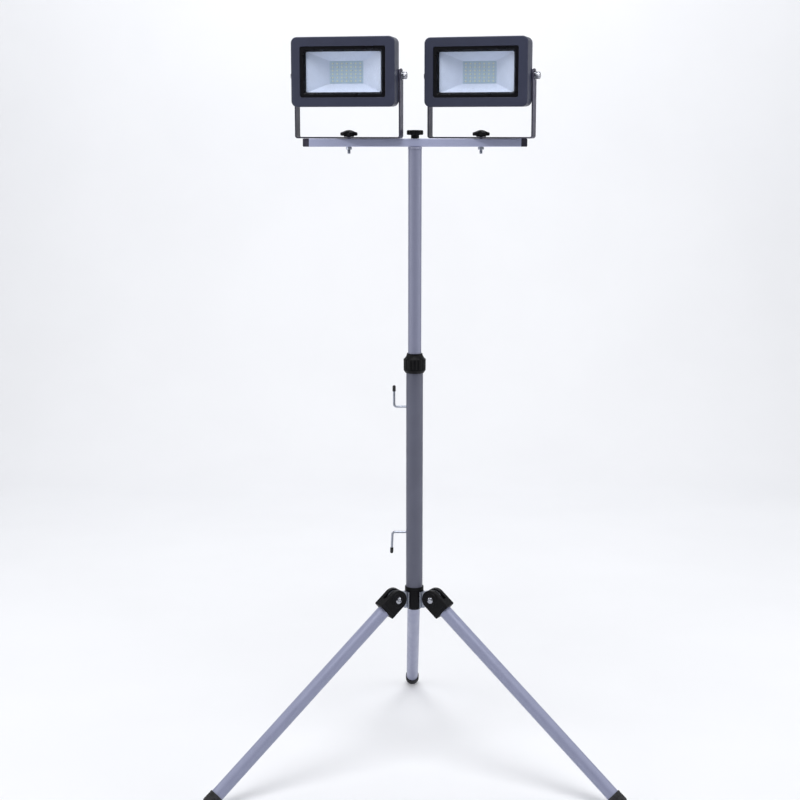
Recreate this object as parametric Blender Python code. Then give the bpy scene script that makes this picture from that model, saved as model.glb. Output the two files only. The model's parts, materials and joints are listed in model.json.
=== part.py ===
"""Twin-head LED work light on a telescopic tripod stand.

Run with: blender --background --python part.py
Metres, +Z up. The floor is z = 0, the lamps face -Y, and the origin is the
middle of the footprint. The mast stands in front of it, because two of the
three legs point forwards.
"""

import math

import bmesh
import bpy
from mathutils import Matrix, Vector

# Clearance left between pieces that touch on the real lamp.
GAP = 0.0003

# Tripod legs.
LEG_SLOPE = math.radians(40.0)
LEG_AZIMUTHS = {"left": -150.0, "right": -30.0, "rear": 90.0}
PIVOT_RADIUS = 0.0433
LEG_LENGTH = 0.522
LEG_TUBE_RADIUS = 0.0127
LEG_TUBE_WALL = 0.0012
FOOT_RADIUS = 0.0145
FOOT_ROUNDING = 0.007
FOOT_SLEEVE = 0.017
FOOT_END = 0.0095
SOLE_CUT = 0.0007
PIVOT_HEIGHT = (
    (LEG_LENGTH - FOOT_ROUNDING) * math.sin(LEG_SLOPE)
    + (FOOT_RADIUS - FOOT_ROUNDING) * math.cos(LEG_SLOPE)
    + FOOT_ROUNDING
    - SOLE_CUT
)

# Knuckles: forks that hold the leg tubes and turn on the hub's lugs.
KNUCKLE_RADIUS = 0.0190
KNUCKLE_WIDTH = 0.0295
KNUCKLE_LENGTH = 0.0330
KNUCKLE_WEB = 0.016
KNUCKLE_SOCKET = 0.0185
KNUCKLE_SLOT = 0.0088
RIVET_RADIUS = 0.004
RIVET_HEAD_RADIUS = 0.0062
RIVET_HEAD_HEIGHT = 0.0022

# Lugs: steel plates that stand out of the hub.
LUG_THICKNESS = 0.008
LUG_RADIUS = 0.0155
LUG_STOP_HEIGHT = 0.010
PAD_WIDTH = 0.015
PAD_THICKNESS = 0.003
PAD_BOTTOM = -0.0210
PAD_TOP = 0.0107
HUB_FLAT = 0.015

# Hub.
HUB_RADIUS = 0.0182
HUB_BOTTOM = 0.3186
HUB_COLLAR_BOTTOM = 0.3548
HUB_TOP = 0.3628
HUB_SPIGOT_RADIUS = 0.0142
HUB_SPIGOT_TOP = 0.3688
HUB_SIDES = 36

# Mast.
LOWER_MAST_RADIUS = 0.016
LOWER_MAST_WALL = 0.0014
LOWER_MAST_BOTTOM = HUB_COLLAR_BOTTOM + GAP
LOWER_MAST_TOP = 0.7985
UPPER_MAST_RADIUS = 0.0125
UPPER_MAST_WALL = 0.0012
UPPER_MAST_BOTTOM = 0.7575
UPPER_MAST_TOP = 1.2015
GUIDE_LENGTH = 0.015
GUIDE_SPIGOT = 0.020

# Collar that clamps the upper mast, from the bottom of its sleeve upwards.
COLLAR_RADIUS = 0.021
COLLAR_FOOT_RADIUS = 0.0175
COLLAR_BOTTOM = 0.7830
COLLAR_SPLIT = 0.7905
COLLAR_THREAD_TOP = 0.8080
COLLAR_CONE_BOTTOM = 0.8085
COLLAR_SHOULDER = 0.8100
COLLAR_CONE_TOP = 0.8115
COLLAR_TOP = 0.8202
COLLAR_THREAD_RADIUS = 0.0183
COLLAR_CROWN_RADIUS = 0.0146
COLLAR_RIM = 0.0027
COLLAR_RIBS = 12
COLLAR_RIB_DEPTH = 0.0008
COLLET_RADIUS = 0.0160
COLLET_TOP_RADIUS = 0.0138
COLLET_SPLIT = math.radians(10.0)

# Crossbar.
BAR_SIZE = 0.015
BAR_WALL = 0.0012
BAR_CORNER = 0.0015
BAR_LENGTH = 0.415
BAR_CAP = 0.011
BAR_SPIGOT = 0.014
BAR_BOTTOM = 1.2064
BAR_TOP = BAR_BOTTOM + BAR_SIZE
LAMP_OFFSET = 0.1223
STUD_RADIUS = 0.003
CENTRE_STUD_RADIUS = 0.004
CENTRE_STUD_END = BAR_BOTTOM - 0.0214
TOP_PLUG_BOTTOM = BAR_BOTTOM - 0.0300
NUT_HEIGHT = 0.005
NUT_ACROSS_FLATS = 0.010
STUD_BELOW_NUT = 0.0075

# Star knobs.
KNOB_RADIUS = 0.0162
KNOB_STEM_RADIUS = 0.0092
KNOB_LOBE_BOTTOM = 0.0020
KNOB_LOBE_TOP = 0.0086
KNOB_HEIGHT = 0.0125
CENTRE_KNOB_RADIUS = 0.0153
CENTRE_KNOB_STEM_RADIUS = 0.0075
CENTRE_KNOB_STEM = 0.0062
CENTRE_KNOB_HEIGHT = 0.0153
KNOB_LOBES = 6
KNOB_POINTS = 4

# Cable hooks.
HOOK_RADIUS = 0.0022
HOOK_BEND = 0.005
HOOK_TIP_RADIUS = 0.0031
HOOK_TIP_LENGTH = 0.012
HOOK_TIP_SOCKET = 0.008
UPPER_HOOK = {"height": 0.7172, "reach": 0.0390, "rise": 0.0415, "lean": 0.0}
LOWER_HOOK = {"height": 0.4705, "reach": 0.0425, "rise": -0.0425, "lean": 0.0018}

# Lamp bracket, in the frame of its swivel.
LAMP_YAW = {"left": math.radians(-13.8), "right": math.radians(-18.7)}
BRACKET_WIDTH = 0.201
BRACKET_STRIP = 0.025
BRACKET_THICKNESS = 0.0025
BRACKET_BEND = 0.005
BRACKET_BOTTOM = BAR_TOP + GAP
PIVOT_ABOVE_BASE = 0.1106
TILT_HEIGHT = BRACKET_BOTTOM + BRACKET_THICKNESS + PIVOT_ABOVE_BASE
TILT_BOLT_RADIUS = 0.004
TILT_BOLT_FLATS = 0.013
TILT_BOLT_HEAD = 0.0055
TILT_WASHER_RADIUS = 0.0085
TILT_WASHER = 0.0016
TILT_SPRING_WASHER_RADIUS = 0.0068
TILT_SPRING_WASHER = 0.002

# Lamp head, in the frame of its tilt axis. Depths run back from the front face.
HEAD_WIDTH = 0.195
HEAD_HEIGHT = 0.125
HEAD_RISE = 0.006
HEAD_FRONT = -0.043
HEAD_REAR = -0.003
HEAD_CORNER = 0.011
HEAD_EDGE = 0.002
HEAD_DRAFT = 0.0007
REAR_EDGE = 0.003
OPENING_WIDTH = 0.161
OPENING_HEIGHT = 0.0913
OPENING_CORNER = 0.004
WINDOW_CORNER = 0.003
LEDGE = 0.005
LEDGE_DEPTH = HEAD_FRONT + 0.013
BEZEL_FRONT = HEAD_FRONT + 0.0015
BEZEL_REAR = HEAD_FRONT + 0.0077
BEZEL_FRONT_WINDOW = (0.1475, 0.0793)
BEZEL_REAR_WINDOW = (0.141, 0.0723)
GLASS_THICKNESS = 0.003
GASKET_WINDOW = (0.1525, 0.0828)
REFLECTOR_WALL = 0.001
REFLECTOR_MOUTH = (0.1435, 0.0748)
REFLECTOR_RIM = (0.1503, 0.0806)
REFLECTOR_THROAT = (0.0656, 0.0410)
REFLECTOR_FRONT = HEAD_FRONT + 0.0115
REFLECTOR_REAR = HEAD_FRONT + 0.0288
BOARD_SIZE = (0.0715, 0.0465)
BOARD_CORNER = 0.002
BOARD_FRONT = REFLECTOR_REAR + 0.0004
BOARD_THICKNESS = 0.0016
FLOOR_DEPTH = BOARD_FRONT + BOARD_THICKNESS + GAP
LED_SIZE = (0.0035, 0.0008, 0.0028)
LED_PITCH = (0.00875, 0.00625)
LED_COUNT = (7, 6)
FIN_THICKNESS = 0.0025
FIN_PITCH = 0.0065
FIN_FIRST = 0.0645
FIN_COUNT = 4
FIN_REAR = 0.014
FIN_HALF_HEIGHT = 0.0495
EAR_RADIUS = 0.011
EAR_INNER = 0.078
EAR_HOLE_DEPTH = 0.016
COVER_SIZE = (0.100, 0.072)
COVER_CORNER = 0.006
COVER_REAR = 0.018
COVER_WALL = 0.0025
COVER_FLANGE = (0.116, 0.077)
COVER_FLANGE_CORNER = 0.007
COVER_SCREW_SPACING = (0.108, 0.056)
SCREW_RADIUS = 0.0018
SCREW_DEPTH = 0.004
WIRE_HOLE_RADIUS = 0.004
WIRE_HOLE_DROP = 0.030
DRIVER_SIZE = (0.084, 0.013, 0.054)
DRIVER_FRONT = HEAD_REAR + 0.004
DRIVER_CORNER = 0.003
GLAND_DEPTH = 0.009
GLAND_RADIUS = 0.0082
GLAND_BASE_RADIUS = 0.0085
GLAND_NECK_RADIUS = 0.0060
GLAND_RIB_DEPTH = 0.0005

# Footprint: how far the rear foot and the front feet reach from the mast.
FOOT_CENTRE = LEG_LENGTH - FOOT_ROUNDING
FOOT_CORNER = FOOT_RADIUS - FOOT_ROUNDING
REAR_REACH = (
    PIVOT_RADIUS
    + FOOT_CENTRE * math.cos(LEG_SLOPE)
    + FOOT_CORNER * math.sin(LEG_SLOPE)
    + FOOT_ROUNDING
)
FORWARD = math.cos(LEG_SLOPE) / 2.0
FRONT_REACH = (
    PIVOT_RADIUS / 2.0
    + FOOT_CENTRE * FORWARD
    + FOOT_CORNER * math.sqrt(1.0 - FORWARD**2)
    + FOOT_ROUNDING
)
MAST_Y = (FRONT_REACH - REAR_REACH) / 2.0

# Sides of the round pieces.
COARSE = 12
MEDIUM = 20
FINE = 28


def make_finish(name, colour, roughness, metallic):
    """A plain Principled material for one kind of surface."""
    material = bpy.data.materials.new(name)
    material.use_nodes = True
    shader = material.node_tree.nodes["Principled BSDF"]
    shader.inputs["Base Color"].default_value = (*colour, 1.0)
    shader.inputs["Roughness"].default_value = roughness
    shader.inputs["Metallic"].default_value = metallic
    material.diffuse_color = (*colour, 1.0)
    return material


def make_finishes():
    """The finishes by name."""
    rows = {
        "anthracite_paint": ((0.045, 0.047, 0.075), 0.5, 0.0),
        "black_plastic": ((0.010, 0.010, 0.013), 0.45, 0.0),
        "black_rubber": ((0.012, 0.012, 0.014), 0.8, 0.0),
        "silver_paint": ((0.28, 0.29, 0.40), 0.4, 0.3),
        "grey_paint": ((0.13, 0.135, 0.17), 0.45, 0.2),
        "zinc_plate": ((0.45, 0.47, 0.52), 0.35, 1.0),
        "bright_steel": ((0.62, 0.62, 0.64), 0.2, 1.0),
        "white_reflector": ((0.62, 0.68, 0.82), 0.45, 0.0),
        "clear_glass": ((0.85, 0.90, 0.95), 0.05, 0.0),
        "white_board": ((0.55, 0.63, 0.72), 0.5, 0.0),
        "grey_silicone": ((0.35, 0.35, 0.36), 0.7, 0.0),
    }
    return {name: make_finish(name, *row) for name, row in rows.items()}


def arc(radius, start, end, steps):
    """Points (across, up) on an arc about the origin, angles in degrees."""
    sweep = end - start
    angles = [math.radians(start + sweep * i / steps) for i in range(steps + 1)]
    return [(radius * math.cos(a), radius * math.sin(a)) for a in angles]


def circle(radius, sides, height):
    """A ring of points about Z."""
    return [
        (
            radius * math.cos(math.tau * i / sides),
            radius * math.sin(math.tau * i / sides),
            height,
        )
        for i in range(sides)
    ]


def lobed(radius, depth, lobes, sides, height):
    """A ring about Z whose radius dips by depth between its lobes."""
    ring = []
    for i in range(sides):
        angle = math.tau * i / sides
        reach = radius - depth * (0.5 - 0.5 * math.cos(lobes * angle))
        ring.append((reach * math.cos(angle), reach * math.sin(angle), height))
    return ring


def hexagon(across_flats, sides, height):
    """A hexagonal ring about Z, with points along its flats as well as at its corners."""
    ring = []
    for i in range(sides):
        angle = math.tau * i / sides
        off_flat = (angle + math.pi / 6.0) % (math.pi / 3.0) - math.pi / 6.0
        reach = across_flats / 2.0 / math.cos(off_flat)
        ring.append((reach * math.cos(angle), reach * math.sin(angle), height))
    return ring


def rounded_rectangle(width, height, corner, steps=3):
    """Points (across, up) round a rectangle with round corners."""
    points = []
    for start, side, rise in ((0, 1, 1), (90, -1, 1), (180, -1, -1), (270, 1, -1)):
        centre_x = side * (width / 2.0 - corner)
        centre_z = rise * (height / 2.0 - corner)
        for x, z in arc(corner, start, start + 90, steps):
            points.append((centre_x + x, centre_z + z))
    return points


def window_ring(size, corner, depth, rise=HEAD_RISE):
    """A round-cornered ring in the XZ plane at one depth."""
    return [(x, depth, z + rise) for x, z in rounded_rectangle(*size, corner)]


def loft(rings, closed=False):
    """A solid through rings of equally many points: capped, or closed on itself."""
    builder = bmesh.new()
    rows = [[builder.verts.new(point) for point in ring] for ring in rings]
    pairs = list(zip(rows, rows[1:]))
    if closed:
        pairs.append((rows[-1], rows[0]))
    else:
        builder.faces.new(rows[0])
        builder.faces.new(rows[-1])
    for first, second in pairs:
        for i, corner in enumerate(first):
            j = (i + 1) % len(first)
            builder.faces.new((corner, first[j], second[j], second[i]))
    bmesh.ops.recalc_face_normals(builder, faces=builder.faces)
    mesh = bpy.data.meshes.new("solid")
    builder.to_mesh(mesh)
    builder.free()
    return mesh


def turned(profile, sides, closed=False):
    """A solid turned about Z from (radius, height) points."""
    return loft([circle(radius, sides, height) for radius, height in profile], closed)


def tube(outer, wall, bottom, top, sides):
    """An open pipe along Z."""
    inner = outer - wall
    profile = [(outer, bottom), (outer, top), (inner, top), (inner, bottom)]
    return turned(profile, sides, closed=True)


def extruded(outline, low, high):
    """A solid from an (x, z) outline, between two values of y."""
    return loft([[(x, y, z) for x, z in outline] for y in (low, high)])


def box(low, high):
    """A box between two corners."""
    outline = [(low[0], low[2]), (high[0], low[2]), (high[0], high[2]), (low[0], high[2])]
    return extruded(outline, low[1], high[1])


def moved(mesh, matrix):
    """The same mesh after a move or a turn."""
    mesh.transform(matrix)
    return mesh


def shift(x=0.0, y=0.0, z=0.0):
    return Matrix.Translation((x, y, z))


def turn(degrees, axis):
    return Matrix.Rotation(math.radians(degrees), 4, axis)


def grouped(meshes):
    """Several separate solids as one mesh."""
    builder = bmesh.new()
    for mesh in meshes:
        builder.from_mesh(mesh)
    result = bpy.data.meshes.new("group")
    builder.to_mesh(result)
    builder.free()
    return result


def combine(operation, mesh, tools):
    """The solid left after each tool is cut from it (DIFFERENCE) or added (UNION)."""
    scene_objects = bpy.context.scene.collection.objects
    blank = bpy.data.objects.new("blank", mesh)
    scene_objects.link(blank)
    used = [blank]
    for tool in tools:
        other = bpy.data.objects.new("tool", tool)
        scene_objects.link(other)
        used.append(other)
        modifier = blank.modifiers.new("combine", "BOOLEAN")
        modifier.operation = operation
        modifier.object = other
    bpy.context.view_layer.update()
    graph = bpy.context.evaluated_depsgraph_get()
    result = bpy.data.meshes.new_from_object(blank.evaluated_get(graph))
    for obj in used:
        bpy.data.objects.remove(obj, do_unlink=True)
    return result


def cut(mesh, *tools):
    return combine("DIFFERENCE", mesh, tools)


def joined(mesh, *tools):
    return combine("UNION", mesh, tools)


def rod(radius, start, end, axis, sides=COARSE):
    """A round bar along one axis, through the origin's line."""
    bar = turned([(radius, start), (radius, end)], sides)
    if axis == "X":
        return moved(bar, turn(90.0, "Y"))
    if axis == "Y":
        return moved(bar, turn(-90.0, "X"))
    return bar


def add_axis(name, location, turn_z=0.0, parent=None):
    """An empty on a joint's axis, which its moving pieces hang from."""
    empty = bpy.data.objects.new(name, None)
    bpy.context.scene.collection.objects.link(empty)
    empty.parent = parent
    empty.location = location
    empty.rotation_euler = (0.0, 0.0, turn_z)
    return empty


def add_node(name, mesh, finish, parent):
    """One named piece of the lamp."""
    if not mesh.materials:
        mesh.materials.append(finish)
        mesh.shade_smooth()
        mesh.set_sharp_from_angle(angle=math.radians(35.0))
    obj = bpy.data.objects.new(name, mesh)
    bpy.context.scene.collection.objects.link(obj)
    obj.parent = parent
    return obj


def hub_ring(radius, flat, height):
    """A ring about Z with a flat at each leg."""
    ring = []
    for i in range(HUB_SIDES):
        angle = 360.0 * i / HUB_SIDES
        off_leg = min(abs((angle - a + 180.0) % 360.0 - 180.0) for a in LEG_AZIMUTHS.values())
        reach = min(radius, flat / math.cos(math.radians(off_leg)))
        a = math.radians(angle)
        ring.append((reach * math.cos(a), reach * math.sin(a), height))
    return ring


def hub_mesh():
    """Moulded hub: a column with three flats, a collar round the mast and a spigot in it."""
    no_flat = HUB_RADIUS
    rings = [
        hub_ring(HUB_RADIUS - 0.0015, HUB_FLAT - 0.001, HUB_BOTTOM),
        hub_ring(HUB_RADIUS, HUB_FLAT, HUB_BOTTOM + 0.0015),
        hub_ring(HUB_RADIUS, HUB_FLAT, HUB_COLLAR_BOTTOM - 0.001),
        hub_ring(HUB_RADIUS, no_flat, HUB_COLLAR_BOTTOM - 0.001 + GAP),
        hub_ring(HUB_RADIUS, no_flat, HUB_TOP - 0.001),
        hub_ring(HUB_RADIUS - 0.0007, no_flat, HUB_TOP),
        hub_ring(LOWER_MAST_RADIUS + GAP, no_flat, HUB_TOP),
        hub_ring(LOWER_MAST_RADIUS + GAP, no_flat, HUB_COLLAR_BOTTOM),
        hub_ring(HUB_SPIGOT_RADIUS, no_flat, HUB_COLLAR_BOTTOM),
        hub_ring(HUB_SPIGOT_RADIUS, no_flat, HUB_SPIGOT_TOP),
    ]
    return loft(rings)


def lug_mesh():
    """Steel plate with a foot on the hub and a nose that stops the spread leg."""
    foot = HUB_FLAT + GAP + PAD_THICKNESS - PIVOT_RADIUS
    slope = math.degrees(LEG_SLOPE)
    clear = KNUCKLE_RADIUS + 2.0 * GAP
    nose = Matrix.Rotation(LEG_SLOPE, 2) @ Vector((KNUCKLE_WEB - GAP, -LUG_STOP_HEIGHT))
    outline = [
        (foot - 0.001, PAD_BOTTOM),
        (-clear, PAD_BOTTOM),
        (-clear, -LUG_RADIUS),
        (0.0, -LUG_RADIUS),
    ]
    outline += arc(LUG_RADIUS, -90.0, -slope, 5)[1:]
    outline.append((nose.x, -nose.y))
    outline += arc(LUG_RADIUS + 0.0005, 20.0, 90.0, 6)
    outline.append((foot - 0.001, PAD_TOP))
    plate = extruded(outline, -LUG_THICKNESS / 2.0, LUG_THICKNESS / 2.0)
    pad = box(
        (foot - PAD_THICKNESS, -PAD_WIDTH / 2.0, PAD_BOTTOM),
        (foot, PAD_WIDTH / 2.0, PAD_TOP),
    )
    hole = rod(RIVET_RADIUS + GAP, -LUG_THICKNESS, LUG_THICKNESS, "Y")
    return cut(joined(pad, plate), hole)


def knuckle_mesh():
    """Fork with two cheeks round the lug and a socket for the leg tube."""
    chamfer = 0.0015
    outline = arc(KNUCKLE_RADIUS, 90.0, 270.0, 16)
    outline += [
        (KNUCKLE_LENGTH - chamfer, -KNUCKLE_RADIUS),
        (KNUCKLE_LENGTH, -KNUCKLE_RADIUS + chamfer),
        (KNUCKLE_LENGTH, KNUCKLE_RADIUS - chamfer),
        (KNUCKLE_LENGTH - chamfer, KNUCKLE_RADIUS),
    ]
    body = extruded(outline, -KNUCKLE_WIDTH / 2.0, KNUCKLE_WIDTH / 2.0)
    slot = box(
        (-2.0 * KNUCKLE_RADIUS, -KNUCKLE_SLOT / 2.0, -2.0 * KNUCKLE_RADIUS),
        (KNUCKLE_WEB, KNUCKLE_SLOT / 2.0, 2.0 * KNUCKLE_RADIUS),
    )
    socket = rod(
        LEG_TUBE_RADIUS + GAP, KNUCKLE_SOCKET, 2.0 * KNUCKLE_LENGTH, "X", MEDIUM
    )
    hole = rod(RIVET_RADIUS + GAP, -KNUCKLE_WIDTH, KNUCKLE_WIDTH, "Y")
    return moved(cut(body, slot, socket, hole), Matrix.Rotation(LEG_SLOPE, 4, "Y"))


def rivet_mesh():
    """Rivet along Y with a domed head at each end."""
    end = KNUCKLE_WIDTH / 2.0 + GAP
    half = [
        (RIVET_HEAD_RADIUS * 0.55, end + RIVET_HEAD_HEIGHT),
        (RIVET_HEAD_RADIUS * 0.85, end + RIVET_HEAD_HEIGHT * 0.7),
        (RIVET_HEAD_RADIUS, end),
        (RIVET_RADIUS, end),
    ]
    profile = half + [(radius, -height) for radius, height in reversed(half)]
    return moved(turned(profile, COARSE), turn(90.0, "X"))


def leg_tube_mesh():
    """Leg pipe, from the bottom of its socket into the foot."""
    end = LEG_LENGTH - FOOT_END - GAP
    pipe = tube(LEG_TUBE_RADIUS, LEG_TUBE_WALL, KNUCKLE_SOCKET + GAP, end, MEDIUM)
    return moved(pipe, Matrix.Rotation(LEG_SLOPE, 4, "Y") @ turn(90.0, "Y"))


def foot_mesh():
    """Rubber foot over the pipe's end, with a small flat where it stands."""
    rim = LEG_LENGTH - FOOT_END - FOOT_SLEEVE
    profile = [
        (LEG_TUBE_RADIUS + GAP, LEG_LENGTH - FOOT_END),
        (LEG_TUBE_RADIUS + GAP, rim),
        (FOOT_RADIUS - 0.0006, rim),
        (FOOT_RADIUS, rim + 0.0012),
    ]
    for across, along in arc(FOOT_ROUNDING, 0.0, 90.0, 4):
        profile.append((FOOT_CORNER + across, FOOT_CENTRE + along))
    cap = moved(
        turned(profile, MEDIUM),
        Matrix.Rotation(LEG_SLOPE, 4, "Y") @ turn(90.0, "Y"),
    )
    floor = box((0.0, -0.1, -PIVOT_HEIGHT - 0.05), (LEG_LENGTH, 0.1, -PIVOT_HEIGHT))
    return cut(cap, floor)


def lower_mast_mesh():
    """Lower mast pipe with a hole for each cable hook."""
    pipe = tube(
        LOWER_MAST_RADIUS, LOWER_MAST_WALL, LOWER_MAST_BOTTOM, LOWER_MAST_TOP, FINE
    )
    holes = [
        moved(
            rod(HOOK_RADIUS + GAP, -2.0 * LOWER_MAST_RADIUS, -0.01, "X"),
            shift(z=hook["height"]),
        )
        for hook in (UPPER_HOOK, LOWER_HOOK)
    ]
    return cut(pipe, *holes)


def collar_sleeve_mesh():
    """Sleeve on the lower mast, with the thread that the collar nut turns on."""
    bore = LOWER_MAST_RADIUS + GAP
    profile = [
        (bore, COLLAR_BOTTOM),
        (COLLAR_FOOT_RADIUS, COLLAR_BOTTOM),
        (COLLAR_RADIUS, COLLAR_SPLIT - 0.0012),
        (COLLAR_RADIUS, COLLAR_SPLIT - GAP),
        (COLLAR_THREAD_RADIUS, COLLAR_SPLIT - GAP),
        (COLLAR_THREAD_RADIUS, COLLAR_THREAD_TOP),
        (bore, COLLAR_THREAD_TOP),
    ]
    return turned(profile, FINE, closed=True)


def collar_nut_mesh():
    """Ribbed nut that squeezes the collet onto the upper mast."""
    sides = 4 * COLLAR_RIBS
    bore = UPPER_MAST_RADIUS + 0.0004
    thread = COLLAR_THREAD_RADIUS + GAP
    rings = [
        lobed(COLLAR_RADIUS, COLLAR_RIB_DEPTH, COLLAR_RIBS, sides, COLLAR_SPLIT),
        lobed(COLLAR_RADIUS, COLLAR_RIB_DEPTH, COLLAR_RIBS, sides, COLLAR_SHOULDER),
        circle(COLLAR_CROWN_RADIUS, sides, COLLAR_TOP),
        circle(bore, sides, COLLAR_TOP),
        circle(bore, sides, COLLAR_TOP - COLLAR_RIM),
        circle(COLLET_RADIUS + GAP, sides, COLLAR_CONE_TOP),
        circle(thread, sides, COLLAR_CONE_BOTTOM),
        circle(thread, sides, COLLAR_SPLIT),
    ]
    return loft(rings, closed=True)


def collet_mesh():
    """Split ring between the upper mast and the collar nut's cone."""
    bottom = LOWER_MAST_TOP + GAP
    top = COLLAR_TOP - COLLAR_RIM - 0.002
    inner = UPPER_MAST_RADIUS + GAP
    section = [
        (inner, bottom),
        (COLLET_RADIUS, bottom),
        (COLLET_RADIUS, COLLAR_CONE_TOP - 0.001),
        (COLLET_TOP_RADIUS, top),
        (inner, top),
    ]
    rings = []
    for i in range(FINE + 1):
        angle = COLLET_SPLIT / 2.0 + (math.tau - COLLET_SPLIT) * i / FINE
        rings.append(
            [(r * math.cos(angle), r * math.sin(angle), z) for r, z in section]
        )
    return loft(rings)


def mast_guide_mesh():
    """Plug in the upper mast's lower end, which slides in the lower mast."""
    slide = LOWER_MAST_RADIUS - LOWER_MAST_WALL - 0.0007
    spigot = UPPER_MAST_RADIUS - UPPER_MAST_WALL - GAP
    bottom = UPPER_MAST_BOTTOM - GUIDE_LENGTH
    profile = [
        (slide - 0.002, bottom),
        (slide, bottom + 0.001),
        (slide, UPPER_MAST_BOTTOM - GAP),
        (spigot, UPPER_MAST_BOTTOM - GAP),
        (spigot, UPPER_MAST_BOTTOM + GUIDE_SPIGOT),
    ]
    return turned(profile, FINE)


def top_plug_mesh():
    """Plug in the upper mast's top, threaded for the centre stud."""
    spigot = UPPER_MAST_RADIUS - UPPER_MAST_WALL - GAP
    bore = CENTRE_STUD_RADIUS + GAP
    flange = UPPER_MAST_RADIUS + 0.0004
    profile = [
        (spigot - 0.001, TOP_PLUG_BOTTOM),
        (spigot, TOP_PLUG_BOTTOM + 0.002),
        (spigot, UPPER_MAST_TOP + GAP),
        (flange, UPPER_MAST_TOP + GAP),
        (flange, BAR_BOTTOM - GAP),
        (bore, BAR_BOTTOM - GAP),
        (bore, CENTRE_STUD_END - 0.0005),
    ]
    return turned(profile, FINE)


def bar_ring(size, corner, x):
    """A square ring across the crossbar, at x from the bar's middle."""
    middle = BAR_BOTTOM + BAR_SIZE / 2.0
    ring = rounded_rectangle(size, size, corner, 2)
    return [(x, y, middle + z) for y, z in ring]


def crossbar_mesh():
    """Square tube with holes for the centre stud and both lamp studs."""
    half = BAR_LENGTH / 2.0 - BAR_CAP - GAP
    inner = BAR_SIZE - 2.0 * BAR_WALL
    rings = [
        bar_ring(BAR_SIZE, BAR_CORNER, -half),
        bar_ring(BAR_SIZE, BAR_CORNER, half),
        bar_ring(inner, BAR_CORNER / 2.0, half),
        bar_ring(inner, BAR_CORNER / 2.0, -half),
    ]
    low = BAR_BOTTOM - BAR_SIZE
    high = BAR_TOP + BAR_SIZE
    holes = [rod(CENTRE_STUD_RADIUS + GAP, low, high, "Z")]
    for x in (-LAMP_OFFSET, LAMP_OFFSET):
        holes.append(moved(rod(STUD_RADIUS + GAP, low, high, "Z"), shift(x=x)))
    return cut(loft(rings, closed=True), *holes)


def crossbar_cap_mesh(side):
    """End plug: a flush head and a spigot in the tube."""
    half = BAR_LENGTH / 2.0
    spigot = BAR_SIZE - 2.0 * BAR_WALL - 2.0 * GAP
    steps = [
        (spigot - 0.001, half - BAR_CAP - BAR_SPIGOT),
        (spigot, half - BAR_CAP - BAR_SPIGOT + 0.002),
        (spigot, half - BAR_CAP),
        (BAR_SIZE, half - BAR_CAP),
        (BAR_SIZE, half - 0.001),
        (BAR_SIZE - 0.0015, half),
    ]
    return loft([bar_ring(size, BAR_CORNER * 0.7, side * x) for size, x in steps])


def star_ring(radius, height):
    return lobed(radius, radius * 0.2, KNOB_LOBES, KNOB_POINTS * KNOB_LOBES, height)


def stud_rings(radius, sides, bottom, top):
    """A moulded-in stud, from its chamfered end up to its knob."""
    chamfer = 0.0006
    return [
        circle(radius - chamfer, sides, bottom),
        circle(radius, sides, bottom + chamfer),
        circle(radius, sides, top),
    ]


def knob_mesh():
    """Domed star knob with its stud, about the swivel axis."""
    sides = KNOB_POINTS * KNOB_LOBES
    underside = BRACKET_THICKNESS + GAP
    stud_end = -BAR_SIZE - 2.0 * GAP - NUT_HEIGHT - STUD_BELOW_NUT
    rings = stud_rings(STUD_RADIUS, sides, stud_end, underside) + [
        circle(KNOB_STEM_RADIUS, sides, underside),
        circle(KNOB_STEM_RADIUS, sides, underside + KNOB_LOBE_BOTTOM - 0.001),
        star_ring(KNOB_RADIUS - 0.0015, underside + KNOB_LOBE_BOTTOM),
        star_ring(KNOB_RADIUS, underside + KNOB_LOBE_BOTTOM + 0.0015),
        star_ring(KNOB_RADIUS, underside + KNOB_LOBE_TOP - 0.0025),
        star_ring(KNOB_RADIUS - 0.002, underside + KNOB_LOBE_TOP),
        circle(KNOB_RADIUS * 0.6, sides, underside + KNOB_HEIGHT - 0.0016),
        circle(KNOB_RADIUS * 0.3, sides, underside + KNOB_HEIGHT),
    ]
    return loft(rings)


def centre_knob_mesh():
    """Flat-topped star knob on a slimmer stem, with its stud."""
    sides = KNOB_POINTS * KNOB_LOBES
    underside = BAR_TOP + GAP
    top = underside + CENTRE_KNOB_HEIGHT
    rings = stud_rings(CENTRE_STUD_RADIUS, sides, CENTRE_STUD_END, underside) + [
        circle(CENTRE_KNOB_STEM_RADIUS, sides, underside),
        circle(CENTRE_KNOB_STEM_RADIUS, sides, underside + CENTRE_KNOB_STEM),
        star_ring(CENTRE_KNOB_RADIUS - 0.001, underside + CENTRE_KNOB_STEM),
        star_ring(CENTRE_KNOB_RADIUS, underside + CENTRE_KNOB_STEM + 0.001),
        star_ring(CENTRE_KNOB_RADIUS, top - 0.0015),
        star_ring(CENTRE_KNOB_RADIUS - 0.0015, top),
    ]
    return loft(rings)


def nut_mesh():
    """Hexagonal nut under the crossbar, about the swivel axis."""
    top = BAR_BOTTOM - GAP - BRACKET_BOTTOM
    bottom = top - NUT_HEIGHT
    bore = STUD_RADIUS + GAP
    rings = [
        hexagon(NUT_ACROSS_FLATS, 12, bottom),
        hexagon(NUT_ACROSS_FLATS, 12, top),
        circle(bore, 12, top),
        circle(bore, 12, bottom),
    ]
    return loft(rings, closed=True)


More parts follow.
